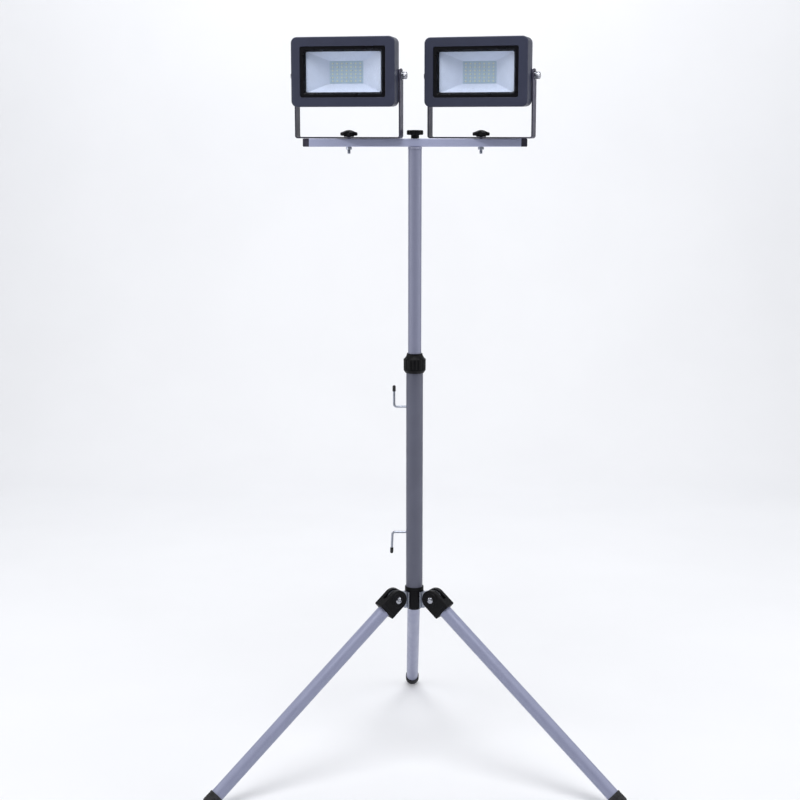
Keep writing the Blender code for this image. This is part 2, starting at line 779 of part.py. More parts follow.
def hook_path(hook, inner_end):
    """Centre line (x, z) of a cable hook, from the mast wall to its tip."""
    sign = math.copysign(1.0, hook["rise"])
    points = [(-inner_end, 0.0)]
    for across, up in arc(HOOK_BEND, 270.0, 180.0, 5):
        points.append((-hook["reach"] + HOOK_BEND + across, sign * (HOOK_BEND + up)))
    points.append((-hook["reach"] - hook["lean"], hook["rise"]))
    return [Vector((x, 0.0, z + hook["height"])) for x, z in points]


def rod_along(points, radius, sides):
    """A round bar that follows a path in the XZ plane."""
    rings = []
    last = len(points) - 1
    for i, point in enumerate(points):
        before = points[max(i - 1, 0)]
        after = points[min(i + 1, last)]
        along = (after - before).normalized()
        across = Vector((0.0, 1.0, 0.0))
        up = along.cross(across)
        ring = [
            point + radius * (math.cos(a) * across + math.sin(a) * up)
            for a in (math.tau * k / sides for k in range(sides))
        ]
        rings.append(ring)
    return loft(rings)


def hook_mesh(hook):
    """Bent wire hook, riveted in the mast wall and ending inside its tip."""
    points = hook_path(hook, LOWER_MAST_RADIUS - LOWER_MAST_WALL + GAP)
    direction = (points[-1] - points[-2]).normalized()
    points[-1] = points[-1] - direction * (HOOK_TIP_LENGTH - HOOK_TIP_SOCKET)
    return rod_along(points, HOOK_RADIUS, 12)


def hook_tip_mesh(hook):
    """Rubber cap over a hook's end."""
    points = hook_path(hook, LOWER_MAST_RADIUS)
    direction = (points[-1] - points[-2]).normalized()
    bore = HOOK_RADIUS + GAP
    length = HOOK_TIP_LENGTH
    profile = [
        (bore, HOOK_TIP_SOCKET + GAP),
        (bore, 0.0),
        (HOOK_TIP_RADIUS - 0.0004, 0.0),
        (HOOK_TIP_RADIUS, 0.0008),
        (HOOK_TIP_RADIUS, length - 0.0015),
        (HOOK_TIP_RADIUS - 0.0015, length),
    ]
    rotation = direction.to_track_quat("Z", "Y").to_matrix().to_4x4()
    start = points[-1] - direction * length
    return moved(turned(profile, 12), Matrix.Translation(start) @ rotation)


def bracket_stations():
    """Middle line of the bracket strip as (x, z, inward x, inward z, half width)."""
    middle = BRACKET_THICKNESS / 2.0
    arm_x = BRACKET_WIDTH / 2.0 - middle
    base_z = -PIVOT_ABOVE_BASE - middle
    radius = BRACKET_BEND - middle
    half = BRACKET_STRIP / 2.0
    right = []
    for angle in (0.0, 30.0, 60.0):
        sweep = math.radians(angle)
        right.append((arm_x, math.sin(sweep) * half, -1.0, 0.0, math.cos(sweep) * half))
    right.append((arm_x, math.sin(math.radians(84.0)) * half, -1.0, 0.0, 0.0015))
    right.reverse()
    for x, z in arc(radius, 0.0, -90.0, 5):
        centre = (arm_x - radius, base_z + radius)
        right.append((centre[0] + x, centre[1] + z, -x / radius, -z / radius, half))
    left = [(-x, z, -inward_x, inward_z, w) for x, z, inward_x, inward_z, w in right]
    return right + left[::-1]


def bracket_mesh():
    """Bent strip with round arm ends, two bolt holes and the stud hole."""
    middle = BRACKET_THICKNESS / 2.0
    rings = []
    for x, z, inward_x, inward_z, half in bracket_stations():
        inner = (x + inward_x * middle, z + inward_z * middle)
        outer = (x - inward_x * middle, z - inward_z * middle)
        rings.append(
            [
                (inner[0], -half, inner[1]),
                (inner[0], half, inner[1]),
                (outer[0], half, outer[1]),
                (outer[0], -half, outer[1]),
            ]
        )
    bolt_holes = rod(TILT_BOLT_RADIUS + GAP, -BRACKET_WIDTH, BRACKET_WIDTH, "X")
    base = -PIVOT_ABOVE_BASE
    stud_hole = rod(STUD_RADIUS + GAP, base - 0.01, base + 0.01, "Z")
    return cut(loft(rings), bolt_holes, stud_hole)


def fins_mesh(side):
    """A comb of upright cooling fins on a common root."""
    root = HEAD_REAR - 0.001
    crown = HEAD_REAR + 0.001
    start = FIN_FIRST - FIN_THICKNESS / 2.0
    outline = [(start, root)]
    for i in range(FIN_COUNT):
        left = start + i * FIN_PITCH
        right = left + FIN_THICKNESS
        outline += [(left, FIN_REAR), (right, FIN_REAR)]
        if i < FIN_COUNT - 1:
            outline += [(right, crown), (left + FIN_PITCH, crown)]
    outline.append((outline[-1][0], root))
    rings = [
        [(side * x, y, HEAD_RISE + z) for x, y in outline]
        for z in (-FIN_HALF_HEIGHT, FIN_HALF_HEIGHT)
    ]
    return loft(rings)


def ear_mesh(side):
    """Boss that takes the tilt bolt."""
    outline = arc(EAR_RADIUS, -90.0, 90.0, 10)
    outline += [(HEAD_REAR - 0.001, EAR_RADIUS), (HEAD_REAR - 0.001, -EAR_RADIUS)]
    return loft(
        [
            [(side * x, y, z) for y, z in outline]
            for x in (EAR_INNER, HEAD_WIDTH / 2.0)
        ]
    )


def cover_screw_places():
    """The four cover screws, in the XZ plane."""
    across, up = COVER_SCREW_SPACING
    return [
        (sx * across / 2.0, HEAD_RISE + sz * up / 2.0)
        for sx in (-1.0, 1.0)
        for sz in (-1.0, 1.0)
    ]


def housing_mesh():
    """Die-cast bowl with a stepped front opening, rear fins and two ears."""
    outer = (HEAD_WIDTH, HEAD_HEIGHT)
    face = (HEAD_WIDTH - 2.0 * HEAD_EDGE, HEAD_HEIGHT - 2.0 * HEAD_EDGE)
    rear = (HEAD_WIDTH - 2.0 * HEAD_DRAFT, HEAD_HEIGHT - 2.0 * HEAD_DRAFT)
    back = (rear[0] - 2.0 * REAR_EDGE, rear[1] - 2.0 * REAR_EDGE)
    opening = (OPENING_WIDTH, OPENING_HEIGHT)
    bowl = (OPENING_WIDTH - 2.0 * LEDGE, OPENING_HEIGHT - 2.0 * LEDGE)
    corner = HEAD_CORNER
    rings = [
        window_ring(back, corner - REAR_EDGE, HEAD_REAR),
        window_ring(rear, corner, HEAD_REAR - REAR_EDGE),
        window_ring(outer, corner, HEAD_FRONT + HEAD_EDGE),
        window_ring(face, corner - HEAD_EDGE, HEAD_FRONT),
        window_ring(opening, OPENING_CORNER, HEAD_FRONT),
        window_ring(opening, OPENING_CORNER, LEDGE_DEPTH),
        window_ring(bowl, OPENING_CORNER, LEDGE_DEPTH),
        window_ring(bowl, OPENING_CORNER, FLOOR_DEPTH),
    ]
    body = joined(
        loft(rings), fins_mesh(1.0), fins_mesh(-1.0), ear_mesh(1.0), ear_mesh(-1.0)
    )
    hole = TILT_BOLT_RADIUS + GAP
    deep = HEAD_WIDTH / 2.0 - EAR_HOLE_DEPTH
    holes = [
        rod(hole, side * HEAD_WIDTH, side * deep, "X") for side in (-1.0, 1.0)
    ]
    for x, z in cover_screw_places():
        drill = rod(SCREW_RADIUS + GAP, HEAD_REAR - SCREW_DEPTH, COVER_REAR, "Y", 12)
        holes.append(moved(drill, shift(x=x, z=z)))
    wire_hole = rod(WIRE_HOLE_RADIUS, 2.0 * FLOOR_DEPTH, COVER_REAR, "Y", 12)
    holes.append(moved(wire_hole, shift(z=HEAD_RISE - WIRE_HOLE_DROP)))
    return cut(body, *holes)


def bezel_mesh():
    """Black ring that slopes in to the window and holds the glass."""
    outer = (OPENING_WIDTH - 2.0 * GAP, OPENING_HEIGHT - 2.0 * GAP)
    rings = [
        window_ring(outer, OPENING_CORNER, BEZEL_REAR),
        window_ring(outer, OPENING_CORNER, BEZEL_FRONT),
        window_ring(BEZEL_FRONT_WINDOW, WINDOW_CORNER, BEZEL_FRONT),
        window_ring(BEZEL_REAR_WINDOW, WINDOW_CORNER, BEZEL_REAR),
    ]
    return loft(rings, closed=True)


def glass_mesh():
    """Flat pane behind the bezel."""
    size = (OPENING_WIDTH - 2.0 * GAP, OPENING_HEIGHT - 2.0 * GAP)
    front = BEZEL_REAR + GAP
    rings = [
        window_ring(size, OPENING_CORNER, front),
        window_ring(size, OPENING_CORNER, front + GLASS_THICKNESS),
    ]
    return loft(rings)


def gasket_mesh():
    """Seal between the pane and the bowl's ledge."""
    size = (OPENING_WIDTH - 2.0 * GAP, OPENING_HEIGHT - 2.0 * GAP)
    front = BEZEL_REAR + 2.0 * GAP + GLASS_THICKNESS
    rear = LEDGE_DEPTH - GAP
    rings = [
        window_ring(size, OPENING_CORNER, front),
        window_ring(size, OPENING_CORNER, rear),
        window_ring(GASKET_WINDOW, WINDOW_CORNER, rear),
        window_ring(GASKET_WINDOW, WINDOW_CORNER, front),
    ]
    return loft(rings, closed=True)


def reflector_mesh():
    """Funnel from the window to the LED board."""

    def grown(size, by):
        return (size[0] + 2.0 * by, size[1] + 2.0 * by)

    rings = [
        window_ring(REFLECTOR_RIM, WINDOW_CORNER, REFLECTOR_FRONT),
        window_ring(REFLECTOR_MOUTH, 0.002, REFLECTOR_FRONT),
        window_ring(REFLECTOR_THROAT, 0.001, REFLECTOR_REAR),
        window_ring(grown(REFLECTOR_THROAT, REFLECTOR_WALL), 0.001, REFLECTOR_REAR),
        window_ring(
            grown(REFLECTOR_MOUTH, REFLECTOR_WALL),
            0.002,
            REFLECTOR_FRONT + REFLECTOR_WALL,
        ),
        window_ring(REFLECTOR_RIM, WINDOW_CORNER, REFLECTOR_FRONT + REFLECTOR_WALL),
    ]
    return loft(rings, closed=True)


def led_chips():
    """The surface-mounted LEDs, in rows and columns, sunk a little into their board."""
    columns, rows = LED_COUNT
    width, depth, height = LED_SIZE
    rear = BOARD_FRONT + GAP
    chips = []
    for column in range(columns):
        for row in range(rows):
            x = (column - (columns - 1) / 2.0) * LED_PITCH[0]
            z = (row - (rows - 1) / 2.0) * LED_PITCH[1] + HEAD_RISE
            low = (x - width / 2.0, BOARD_FRONT - depth, z - height / 2.0)
            high = (x + width / 2.0, rear, z + height / 2.0)
            chips.append(box(low, high))
    return grouped(chips)


def led_board_mesh():
    """Aluminium-backed board on the bowl's floor, with its LEDs soldered on."""
    rings = [
        window_ring(BOARD_SIZE, BOARD_CORNER, BOARD_FRONT),
        window_ring(BOARD_SIZE, BOARD_CORNER, BOARD_FRONT + BOARD_THICKNESS),
    ]
    return joined(loft(rings), led_chips())


def driver_cover_mesh():
    """Rear cover: an open box with a screw flange and the gland's hole."""
    front = HEAD_REAR + GAP
    flange = front + COVER_WALL
    inner = (COVER_SIZE[0] - 2.0 * COVER_WALL, COVER_SIZE[1] - 2.0 * COVER_WALL)
    face = (COVER_SIZE[0] - 0.004, COVER_SIZE[1] - 0.004)
    rings = [
        window_ring(inner, COVER_CORNER - 0.002, COVER_REAR - COVER_WALL),
        window_ring(inner, COVER_CORNER - 0.002, front),
        window_ring(COVER_FLANGE, COVER_FLANGE_CORNER, front),
        window_ring(COVER_FLANGE, COVER_FLANGE_CORNER, flange),
        window_ring(COVER_SIZE, COVER_CORNER, flange),
        window_ring(COVER_SIZE, COVER_CORNER, COVER_REAR - 0.002),
        window_ring(face, COVER_CORNER - 0.002, COVER_REAR),
    ]
    holes = []
    for x, z in cover_screw_places():
        drill = rod(SCREW_RADIUS + GAP, 2.0 * HEAD_REAR, COVER_REAR, "Y", 12)
        holes.append(moved(drill, shift(x=x, z=z)))
    bottom = HEAD_RISE - COVER_SIZE[1] / 2.0
    gland_hole = rod(GLAND_NECK_RADIUS + GAP, bottom - 0.01, bottom + 0.006, "Z")
    holes.append(moved(gland_hole, shift(y=GLAND_DEPTH)))
    return cut(loft(rings), *holes)


def driver_mesh():
    """Potted constant-current driver inside the cover."""
    width, depth, height = DRIVER_SIZE
    rings = [
        window_ring((width, height), DRIVER_CORNER, DRIVER_FRONT),
        window_ring((width, height), DRIVER_CORNER, DRIVER_FRONT + depth),
    ]
    return loft(rings)


def cable_gland_mesh():
    """Cable gland under the rear cover, closed by its seal."""
    seat = HEAD_RISE - COVER_SIZE[1] / 2.0 - GAP
    sides = COARSE
    rings = [
        circle(GLAND_NECK_RADIUS, sides, seat + 0.006),
        circle(GLAND_NECK_RADIUS, sides, seat),
        circle(GLAND_BASE_RADIUS, sides, seat),
        circle(GLAND_BASE_RADIUS, sides, seat - 0.003),
        circle(GLAND_RADIUS - 0.001, sides, seat - 0.004),
        lobed(GLAND_RADIUS, GLAND_RIB_DEPTH, 6, sides, seat - 0.005),
        lobed(GLAND_RADIUS, GLAND_RIB_DEPTH, 6, sides, seat - 0.012),
        circle(GLAND_NECK_RADIUS, sides, seat - 0.016),
        circle(GLAND_NECK_RADIUS * 0.60, sides, seat - 0.017),
        circle(GLAND_NECK_RADIUS * 0.53, sides, seat - 0.0155),
    ]
    return moved(loft(rings), shift(y=GLAND_DEPTH))


def tilt_bolt_mesh(side):
    """Tilt bolt with its flat washer and spring washer."""
    arm = BRACKET_WIDTH / 2.0 + GAP
    spring = arm + TILT_WASHER
    head = spring + TILT_SPRING_WASHER
    top = head + TILT_BOLT_HEAD
    end = HEAD_WIDTH / 2.0 - EAR_HOLE_DEPTH + 0.002
    rings = [
        circle(TILT_BOLT_RADIUS, COARSE, end),
        circle(TILT_BOLT_RADIUS, COARSE, arm),
        circle(TILT_WASHER_RADIUS, COARSE, arm),
        circle(TILT_WASHER_RADIUS, COARSE, spring),
        circle(TILT_SPRING_WASHER_RADIUS, COARSE, spring),
        circle(TILT_SPRING_WASHER_RADIUS, COARSE, head),
        hexagon(TILT_BOLT_FLATS, COARSE, head),
        hexagon(TILT_BOLT_FLATS, COARSE, top - 0.001),
        circle(TILT_BOLT_FLATS * 0.44, COARSE, top),
    ]
    return moved(loft(rings), turn(90.0 * side, "Y"))


def build_stand(finishes, mast):
    """Hub, mast pipes, collar and cable hooks."""
    black = finishes["black_plastic"]
    add_node("tripod_hub", hub_mesh(), black, mast)
    add_node("lower_mast", lower_mast_mesh(), finishes["grey_paint"], mast)
    add_node("collar_sleeve", collar_sleeve_mesh(), black, mast)
    add_node("collet", collet_mesh(), black, mast)
    add_node("collar_nut", collar_nut_mesh(), black, mast)
    for name, hook in (("upper", UPPER_HOOK), ("lower", LOWER_HOOK)):
        add_node("cable_hook_" + name, hook_mesh(hook), finishes["zinc_plate"], mast)
        add_node("hook_tip_" + name, hook_tip_mesh(hook), finishes["black_rubber"], mast)


def build_legs(finishes, mast):
    """Three legs, each on an axis through its rivet."""
    lug = lug_mesh()
    knuckle = knuckle_mesh()
    pipe = leg_tube_mesh()
    foot = foot_mesh()
    rivet = rivet_mesh()
    for name, azimuth in LEG_AZIMUTHS.items():
        heading = math.radians(azimuth)
        place = (
            PIVOT_RADIUS * math.cos(heading),
            PIVOT_RADIUS * math.sin(heading),
            PIVOT_HEIGHT,
        )
        axis = add_axis("leg_axis_" + name, place, heading, mast)
        add_node("leg_lug_" + name, lug, finishes["zinc_plate"], axis)
        add_node("leg_knuckle_" + name, knuckle, finishes["black_plastic"], axis)
        add_node("leg_tube_" + name, pipe, finishes["silver_paint"], axis)
        add_node("leg_foot_" + name, foot, finishes["black_rubber"], axis)
        add_node("leg_rivet_" + name, rivet, finishes["bright_steel"], axis)


def build_top(finishes, mast):
    """Upper mast and crossbar with its knob, studs, nuts and caps."""
    black = finishes["black_plastic"]
    pipe = tube(
        UPPER_MAST_RADIUS, UPPER_MAST_WALL, UPPER_MAST_BOTTOM, UPPER_MAST_TOP, FINE
    )
    add_node("upper_mast", pipe, finishes["silver_paint"], mast)
    add_node("mast_guide", mast_guide_mesh(), black, mast)
    add_node("mast_top_plug", top_plug_mesh(), black, mast)
    add_node("crossbar", crossbar_mesh(), finishes["silver_paint"], mast)
    add_node("crossbar_cap_left", crossbar_cap_mesh(-1.0), black, mast)
    add_node("crossbar_cap_right", crossbar_cap_mesh(1.0), black, mast)
    add_node("centre_knob", centre_knob_mesh(), black, mast)


def head_pieces():
    """Every piece of a lamp head, as (name, mesh, finish name)."""
    return [
        ("housing", housing_mesh(), "anthracite_paint"),
        ("bezel", bezel_mesh(), "black_plastic"),
        ("glass", glass_mesh(), "clear_glass"),
        ("gasket", gasket_mesh(), "grey_silicone"),
        ("reflector", reflector_mesh(), "white_reflector"),
        ("led_board", led_board_mesh(), "white_board"),
        ("driver_cover", driver_cover_mesh(), "anthracite_paint"),
        ("driver", driver_mesh(), "black_plastic"),
        ("cable_gland", cable_gland_mesh(), "black_plastic"),
        ("tilt_bolt_left", tilt_bolt_mesh(-1.0), "bright_steel"),
        ("tilt_bolt_right", tilt_bolt_mesh(1.0), "bright_steel"),
    ]


def build_lamps(finishes, mast):
    """Two lamps, each on a swivel axis and a tilt axis."""
    knob = knob_mesh()
    nut = nut_mesh()
    bracket = bracket_mesh()
    pieces = head_pieces()
    for name, side in (("left", -1.0), ("right", 1.0)):
        swivel_place = (side * LAMP_OFFSET, 0.0, BRACKET_BOTTOM)
        swivel = add_axis("swivel_axis_" + name, swivel_place, LAMP_YAW[name], mast)
        add_node(name + "_knob", knob, finishes["black_plastic"], swivel)
        add_node(name + "_stud_nut", nut, finishes["zinc_plate"], swivel)
        tilt_place = (0.0, 0.0, TILT_HEIGHT - BRACKET_BOTTOM)
        tilt = add_axis("tilt_axis_" + name, tilt_place, 0.0, swivel)
        add_node(name + "_bracket", bracket, finishes["anthracite_paint"], tilt)
        for piece, mesh, finish in pieces:
            add_node(name + "_" + piece, mesh, finishes[finish], tilt)


def main():
    for obj in list(bpy.data.objects):
        bpy.data.objects.remove(obj, do_unlink=True)
    finishes = make_finishes()
    mast = add_axis("mast_axis", (0.0, MAST_Y, 0.0))
    build_stand(finishes, mast)
    build_legs(finishes, mast)
    build_top(finishes, mast)
    build_lamps(finishes, mast)


main()
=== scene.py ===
"""Looks of a twin-head LED work light on a telescopic tripod stand.

The frame holds every piece's place and motion. This script builds the fine
pieces on it, gives each one its finish, and sets up a plain studio.
Metres, +Z up, and the lamps face -Y.
"""

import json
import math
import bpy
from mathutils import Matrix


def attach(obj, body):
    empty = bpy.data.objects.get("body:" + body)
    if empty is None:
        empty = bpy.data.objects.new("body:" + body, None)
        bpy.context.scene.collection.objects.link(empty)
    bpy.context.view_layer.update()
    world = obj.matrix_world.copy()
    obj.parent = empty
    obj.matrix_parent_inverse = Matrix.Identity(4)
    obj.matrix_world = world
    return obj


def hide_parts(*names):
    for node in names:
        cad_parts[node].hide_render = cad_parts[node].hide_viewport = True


bl_info = {
    "name": "Twin-Head Work Light",
    "version": (1, 0, 0),
    "blender": (4, 5, 0),
    "location": "View3D > Sidebar > Work Light",
    "description": "Builds the finished pieces of a tripod work light on its frame",
    "category": "Add Mesh",
}

import bmesh
import bpy
from mathutils import Matrix, Vector

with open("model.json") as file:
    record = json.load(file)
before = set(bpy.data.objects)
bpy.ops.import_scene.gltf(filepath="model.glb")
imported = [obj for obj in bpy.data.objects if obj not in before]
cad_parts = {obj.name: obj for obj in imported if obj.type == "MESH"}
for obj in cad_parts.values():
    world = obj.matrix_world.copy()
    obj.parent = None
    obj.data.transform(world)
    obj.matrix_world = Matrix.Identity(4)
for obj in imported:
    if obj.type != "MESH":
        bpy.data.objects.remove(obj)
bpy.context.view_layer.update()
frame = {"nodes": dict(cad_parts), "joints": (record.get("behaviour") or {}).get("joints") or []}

LAMPS = ("left", "right")
LEGS = ("left", "right", "rear")
JOINTS = {joint["name"]: joint for joint in frame["joints"]}
UP = Vector((0.0, 0.0, 1.0))
MM = 0.001

# Clearance that the frame's pieces keep where the real ones touch.
GAP = 0.3 * MM

# Sides of a round piece, of a small round piece, and steps round a corner.
ROUND = 96
SMALL_ROUND = 48
CORNER_STEPS = 8

# Radii of the clearance holes for the M8 and M6 studs and bolts, and for the cover screws.
M8_HOLE = 4.3 * MM
M6_HOLE = 3.3 * MM
SCREW_HOLE = 2.1 * MM

# Share of its own colour that the studio paper gives off.
PAPER_GLOW = 0.22


# ---------------------------------------------------------------- places

def place_of(position, along):
    """A place whose X axis is along a level direction and whose Z axis is up."""
    x_axis = Vector(along).normalized()
    y_axis = UP.cross(x_axis)
    place = Matrix((x_axis, y_axis, UP)).transposed().to_4x4()
    place.translation = position
    return place


def leg_place(side):
    """The leg's hinge: X outwards, Y along the rivet."""
    joint = JOINTS["leg_%s_fold" % side]
    return place_of(joint["pos_m"], Vector(joint["axis"]).cross(UP))


def head_place(lamp):
    """The lamp's tilt axis: X along the two bolts, the window towards -Y."""
    joint = JOINTS["%s_lamp_tilt" % lamp]
    return place_of(joint["pos_m"], joint["axis"])


def swivel_place(lamp):
    """The lamp's stud where the bracket rests on the crossbar."""
    place = head_place(lamp)
    place.translation = JOINTS["%s_lamp_swivel" % lamp]["pos_m"]
    return place


def mast_place():
    """The mast's axis on the floor."""
    position = Vector(JOINTS["crossbar_swivel"]["pos_m"])
    return Matrix.Translation((position.x, position.y, 0.0))


def local_box(node, place):
    """A frame node's lowest and highest corners, seen from a place."""
    inverse = place.inverted()
    points = [inverse @ vertex.co for vertex in frame["nodes"][node].data.vertices]
    low = Vector([min(point[i] for point in points) for i in range(3)])
    high = Vector([max(point[i] for point in points) for i in range(3)])
    return low, high


# ---------------------------------------------------------------- meshes

def arc(radius, start, end, steps, centre=(0.0, 0.0)):
    """Points on an arc, with its angles in degrees."""
    angles = [math.radians(start + (end - start) * i / steps) for i in range(steps + 1)]
    return [(centre[0] + radius * math.cos(a), centre[1] + radius * math.sin(a)) for a in angles]


def polar_ring(reach, height, sides):
    """A ring about Z whose radius at each angle is given by a function."""
    ring = []
    for i in range(sides):
        angle = math.tau * i / sides
        radius = reach(angle)
        ring.append((radius * math.cos(angle), radius * math.sin(angle), height))
    return ring


def circle(radius, height, sides):
    return polar_ring(lambda angle: radius, height, sides)


def hexagon(across_flats, most, height):
    """A hexagonal ring whose corners are turned down to a largest radius."""

    def reach(angle):
        off_flat = (angle + math.pi / 6.0) % (math.pi / 3.0) - math.pi / 6.0
        return min(across_flats / 2.0 / math.cos(off_flat), most)

    return polar_ring(reach, height, SMALL_ROUND * 2)


def rectangle(size, corner, steps=CORNER_STEPS):
    """Points round a rectangle with round corners."""
    half_width = size[0] / 2.0 - corner
    half_height = size[1] / 2.0 - corner
    points = []
    for first, side, rise in ((0, 1, 1), (90, -1, 1), (180, -1, -1), (270, 1, -1)):
        points += arc(corner, first, first + 90, steps, (side * half_width, rise * half_height))
    return points


def window(size, corner, depth, rise=0.0):
    """A round-cornered ring in the XZ plane at one depth."""
    return [(x, depth, z + rise) for x, z in rectangle(size, corner)]


def edge_windows(size, corner, face, radius, solid, rise, outside=True, steps=5):
    """Rings round a rolled edge, from the side wall to the face.

    The solid lies on the given side of the face, +1 or -1 along Y.
    """
    rings = []
    for i in range(steps + 1):
        sweep = math.radians(90.0 * i / steps)
        inset = radius * (1.0 - math.cos(sweep)) * (1.0 if outside else -1.0)
        depth = face + solid * radius * (1.0 - math.sin(sweep))
        inner = (size[0] - 2.0 * inset, size[1] - 2.0 * inset)
        rings.append(window(inner, max(corner - inset, 0.2 * MM), depth, rise))
    return rings


def loft(rings, closed=False):
    """A solid through rings of equally many points: capped, or closed on itself."""
    builder = bmesh.new()
    rows = [[builder.verts.new(point) for point in ring] for ring in rings]
    pairs = list(zip(rows, rows[1:]))
    if closed:
        pairs.append((rows[-1], rows[0]))
    else:
        builder.faces.new(rows[0])
        builder.faces.new(rows[-1])
    for first, second in pairs:
        for i, corner in enumerate(first):
            j = (i + 1) % len(first)
            builder.faces.new((corner, first[j], second[j], second[i]))
    bmesh.ops.recalc_face_normals(builder, faces=builder.faces)
    mesh = bpy.data.meshes.new("solid")
    builder.to_mesh(mesh)
    builder.free()
    return mesh


def turned(profile, sides=ROUND, closed=False):
    """A solid turned about Z from (radius, height) points."""
    return loft([circle(radius, height, sides) for radius, height in profile], closed)


def rounded_profile(points, radius, steps=4):
    """A closed (radius, height) outline with each of its corners rolled over."""
    outline = []
    count = len(points)
    for i, point in enumerate(points):
        corner = Vector(point)
        before = Vector(points[i - 1]) - corner
        after = Vector(points[(i + 1) % count]) - corner
        reach = min(radius, before.length * 0.45, after.length * 0.45)
        start = corner + before.normalized() * reach
        end = corner + after.normalized() * reach
        for step in range(steps + 1):
            t = step / steps
            blend = start * (1.0 - t) ** 2 + corner * 2.0 * t * (1.0 - t) + end * t**2
            outline.append(tuple(blend))
    return outline


def ring_solid(points, radius, sides=ROUND):
    """A turned ring from a closed outline, with its corners rolled over."""
    return turned(rounded_profile(points, radius), sides, closed=True)


def extruded(outline, low, high):
    """A solid from an (x, z) outline, between two values of y."""
    return loft([[(x, y, z) for x, z in outline] for y in (low, high)])


def block(low, high):
    """A plain block between two corners."""
    outline = [(low[0], low[2]), (high[0], low[2]), (high[0], high[2]), (low[0], high[2])]
    return extruded(outline, low[1], high[1])


def rod(radius, start, end, axis="Z", sides=SMALL_ROUND):
    """A round bar along one axis."""
    bar = turned([(radius, start), (radius, end)], sides)
    if axis == "X":
        return moved(bar, Matrix.Rotation(math.radians(90.0), 4, "Y"))
    if axis == "Y":
        return moved(bar, Matrix.Rotation(math.radians(-90.0), 4, "X"))
    return bar


def moved(mesh, matrix):
    mesh.transform(matrix)
    return mesh


def repeated(mesh, places):
    """Copies of one solid at several places, as one mesh."""
    builder = bmesh.new()
    for place in places:
        start = len(builder.verts)
        builder.from_mesh(mesh)
        builder.verts.ensure_lookup_table()
        bmesh.ops.transform(builder, matrix=place, verts=builder.verts[start:])
    result = bpy.data.meshes.new("copies")
    builder.to_mesh(result)
    builder.free()
    return result


def evaluated(mesh, add_modifiers):
    """The mesh after modifiers that a function adds to a helper object."""
    helper = bpy.data.objects.new("helper", mesh)
    bpy.context.scene.collection.objects.link(helper)
    used = [helper] + (add_modifiers(helper) or [])
    bpy.context.view_layer.update()
    graph = bpy.context.evaluated_depsgraph_get()
    result = bpy.data.meshes.new_from_object(helper.evaluated_get(graph))
    for obj in used:
        bpy.data.objects.remove(obj, do_unlink=True)
    return result


def combined(operation, mesh, tools):
    """The solid after each tool is cut from it or added to it."""

    def add_modifiers(helper):
        others = []
        for tool in tools:
            other = bpy.data.objects.new("tool", tool)
            bpy.context.scene.collection.objects.link(other)
            modifier = helper.modifiers.new("combine", "BOOLEAN")
            modifier.operation = operation
            modifier.object = other
            others.append(other)
        return others

    return evaluated(mesh, add_modifiers)


def cut(mesh, *tools):
    return combined("DIFFERENCE", mesh, tools)


def joined(mesh, *tools):
    return combined("UNION", mesh, tools)


def softened(mesh, width, segments=2, angle=35.0):
    """The solid with every sharp edge rolled over by a small width."""

    def add_modifiers(helper):
        bevel = helper.modifiers.new("rolled edges", "BEVEL")
        bevel.width = width
        bevel.segments = segments
        bevel.limit_method = "ANGLE"
        bevel.angle_limit = math.radians(angle)
        bevel.use_clamp_overlap = True

    return evaluated(mesh, add_modifiers)


# ---------------------------------------------------------------- finishes

def linear(hex_colour):
    """An sRGB hex colour as linear red, green and blue."""
    values = []
    for start in (0, 2, 4):
        value = int(hex_colour[start:start + 2], 16) / 255.0
        values.append(value / 12.92 if value <= 0.04045 else ((value + 0.055) / 1.055) ** 2.4)
    return tuple(values)


def add_shader(tree, kind, inputs=None, **settings):
    """Adds one shader node with its settings, and its inputs as values or links."""
    node = tree.nodes.new("ShaderNode" + kind)
    for name, value in settings.items():
        setattr(node, name, value)
    for name, value in (inputs or {}).items():
        if isinstance(value, bpy.types.NodeSocket):
            tree.links.new(value, node.inputs[name])
        else:
            node.inputs[name].default_value = value
    return node


def start_finish(name, colour, roughness, metallic=0.0, **sockets):
    """A material with its shader's constant values set, and its tree."""
    material = bpy.data.materials.new(name)
    material.use_nodes = True
    material.diffuse_color = (*colour, 1.0)
    shader = material.node_tree.nodes["Principled BSDF"]
    shader.inputs["Base Color"].default_value = (*colour, 1.0)
    shader.inputs["Roughness"].default_value = roughness
    shader.inputs["Metallic"].default_value = metallic
    for socket, value in sockets.items():
        shader.inputs[socket.replace("_", " ")].default_value = value
    return material.node_tree, shader


def noise(tree, size, detail=3.0, stretch=(1.0, 1.0, 1.0)):
    """Noise on the piece itself, whose blotches are about one size across."""
    place = add_shader(tree, "TexCoord").outputs["Object"]
    scaled = add_shader(tree, "Mapping", {"Vector": place, "Scale": stretch})
    inputs = {"Vector": scaled.outputs["Vector"], "Scale": 1.0 / size, "Detail": detail}
    return add_shader(tree, "TexNoise", inputs).outputs["Fac"]


def spread(tree, value, low, high, start=0.35, end=0.65):
    """A noise value stretched to a range."""
    inputs = {"Value": value, "From Min": start, "From Max": end, "To Min": low, "To Max": high}
    return add_shader(tree, "MapRange", inputs).outputs["Result"]


def mixed(tree, amount, first, second):
    """A colour between two others."""
    inputs = {0: amount}
    for index, colour in ((6, first), (7, second)):
        inputs[index] = (*colour, 1.0) if isinstance(colour, tuple) else colour
    return add_shader(tree, "Mix", inputs, data_type="RGBA").outputs[2]


def shaded(colour, factor):
    return tuple(min(value * factor, 1.0) for value in colour)


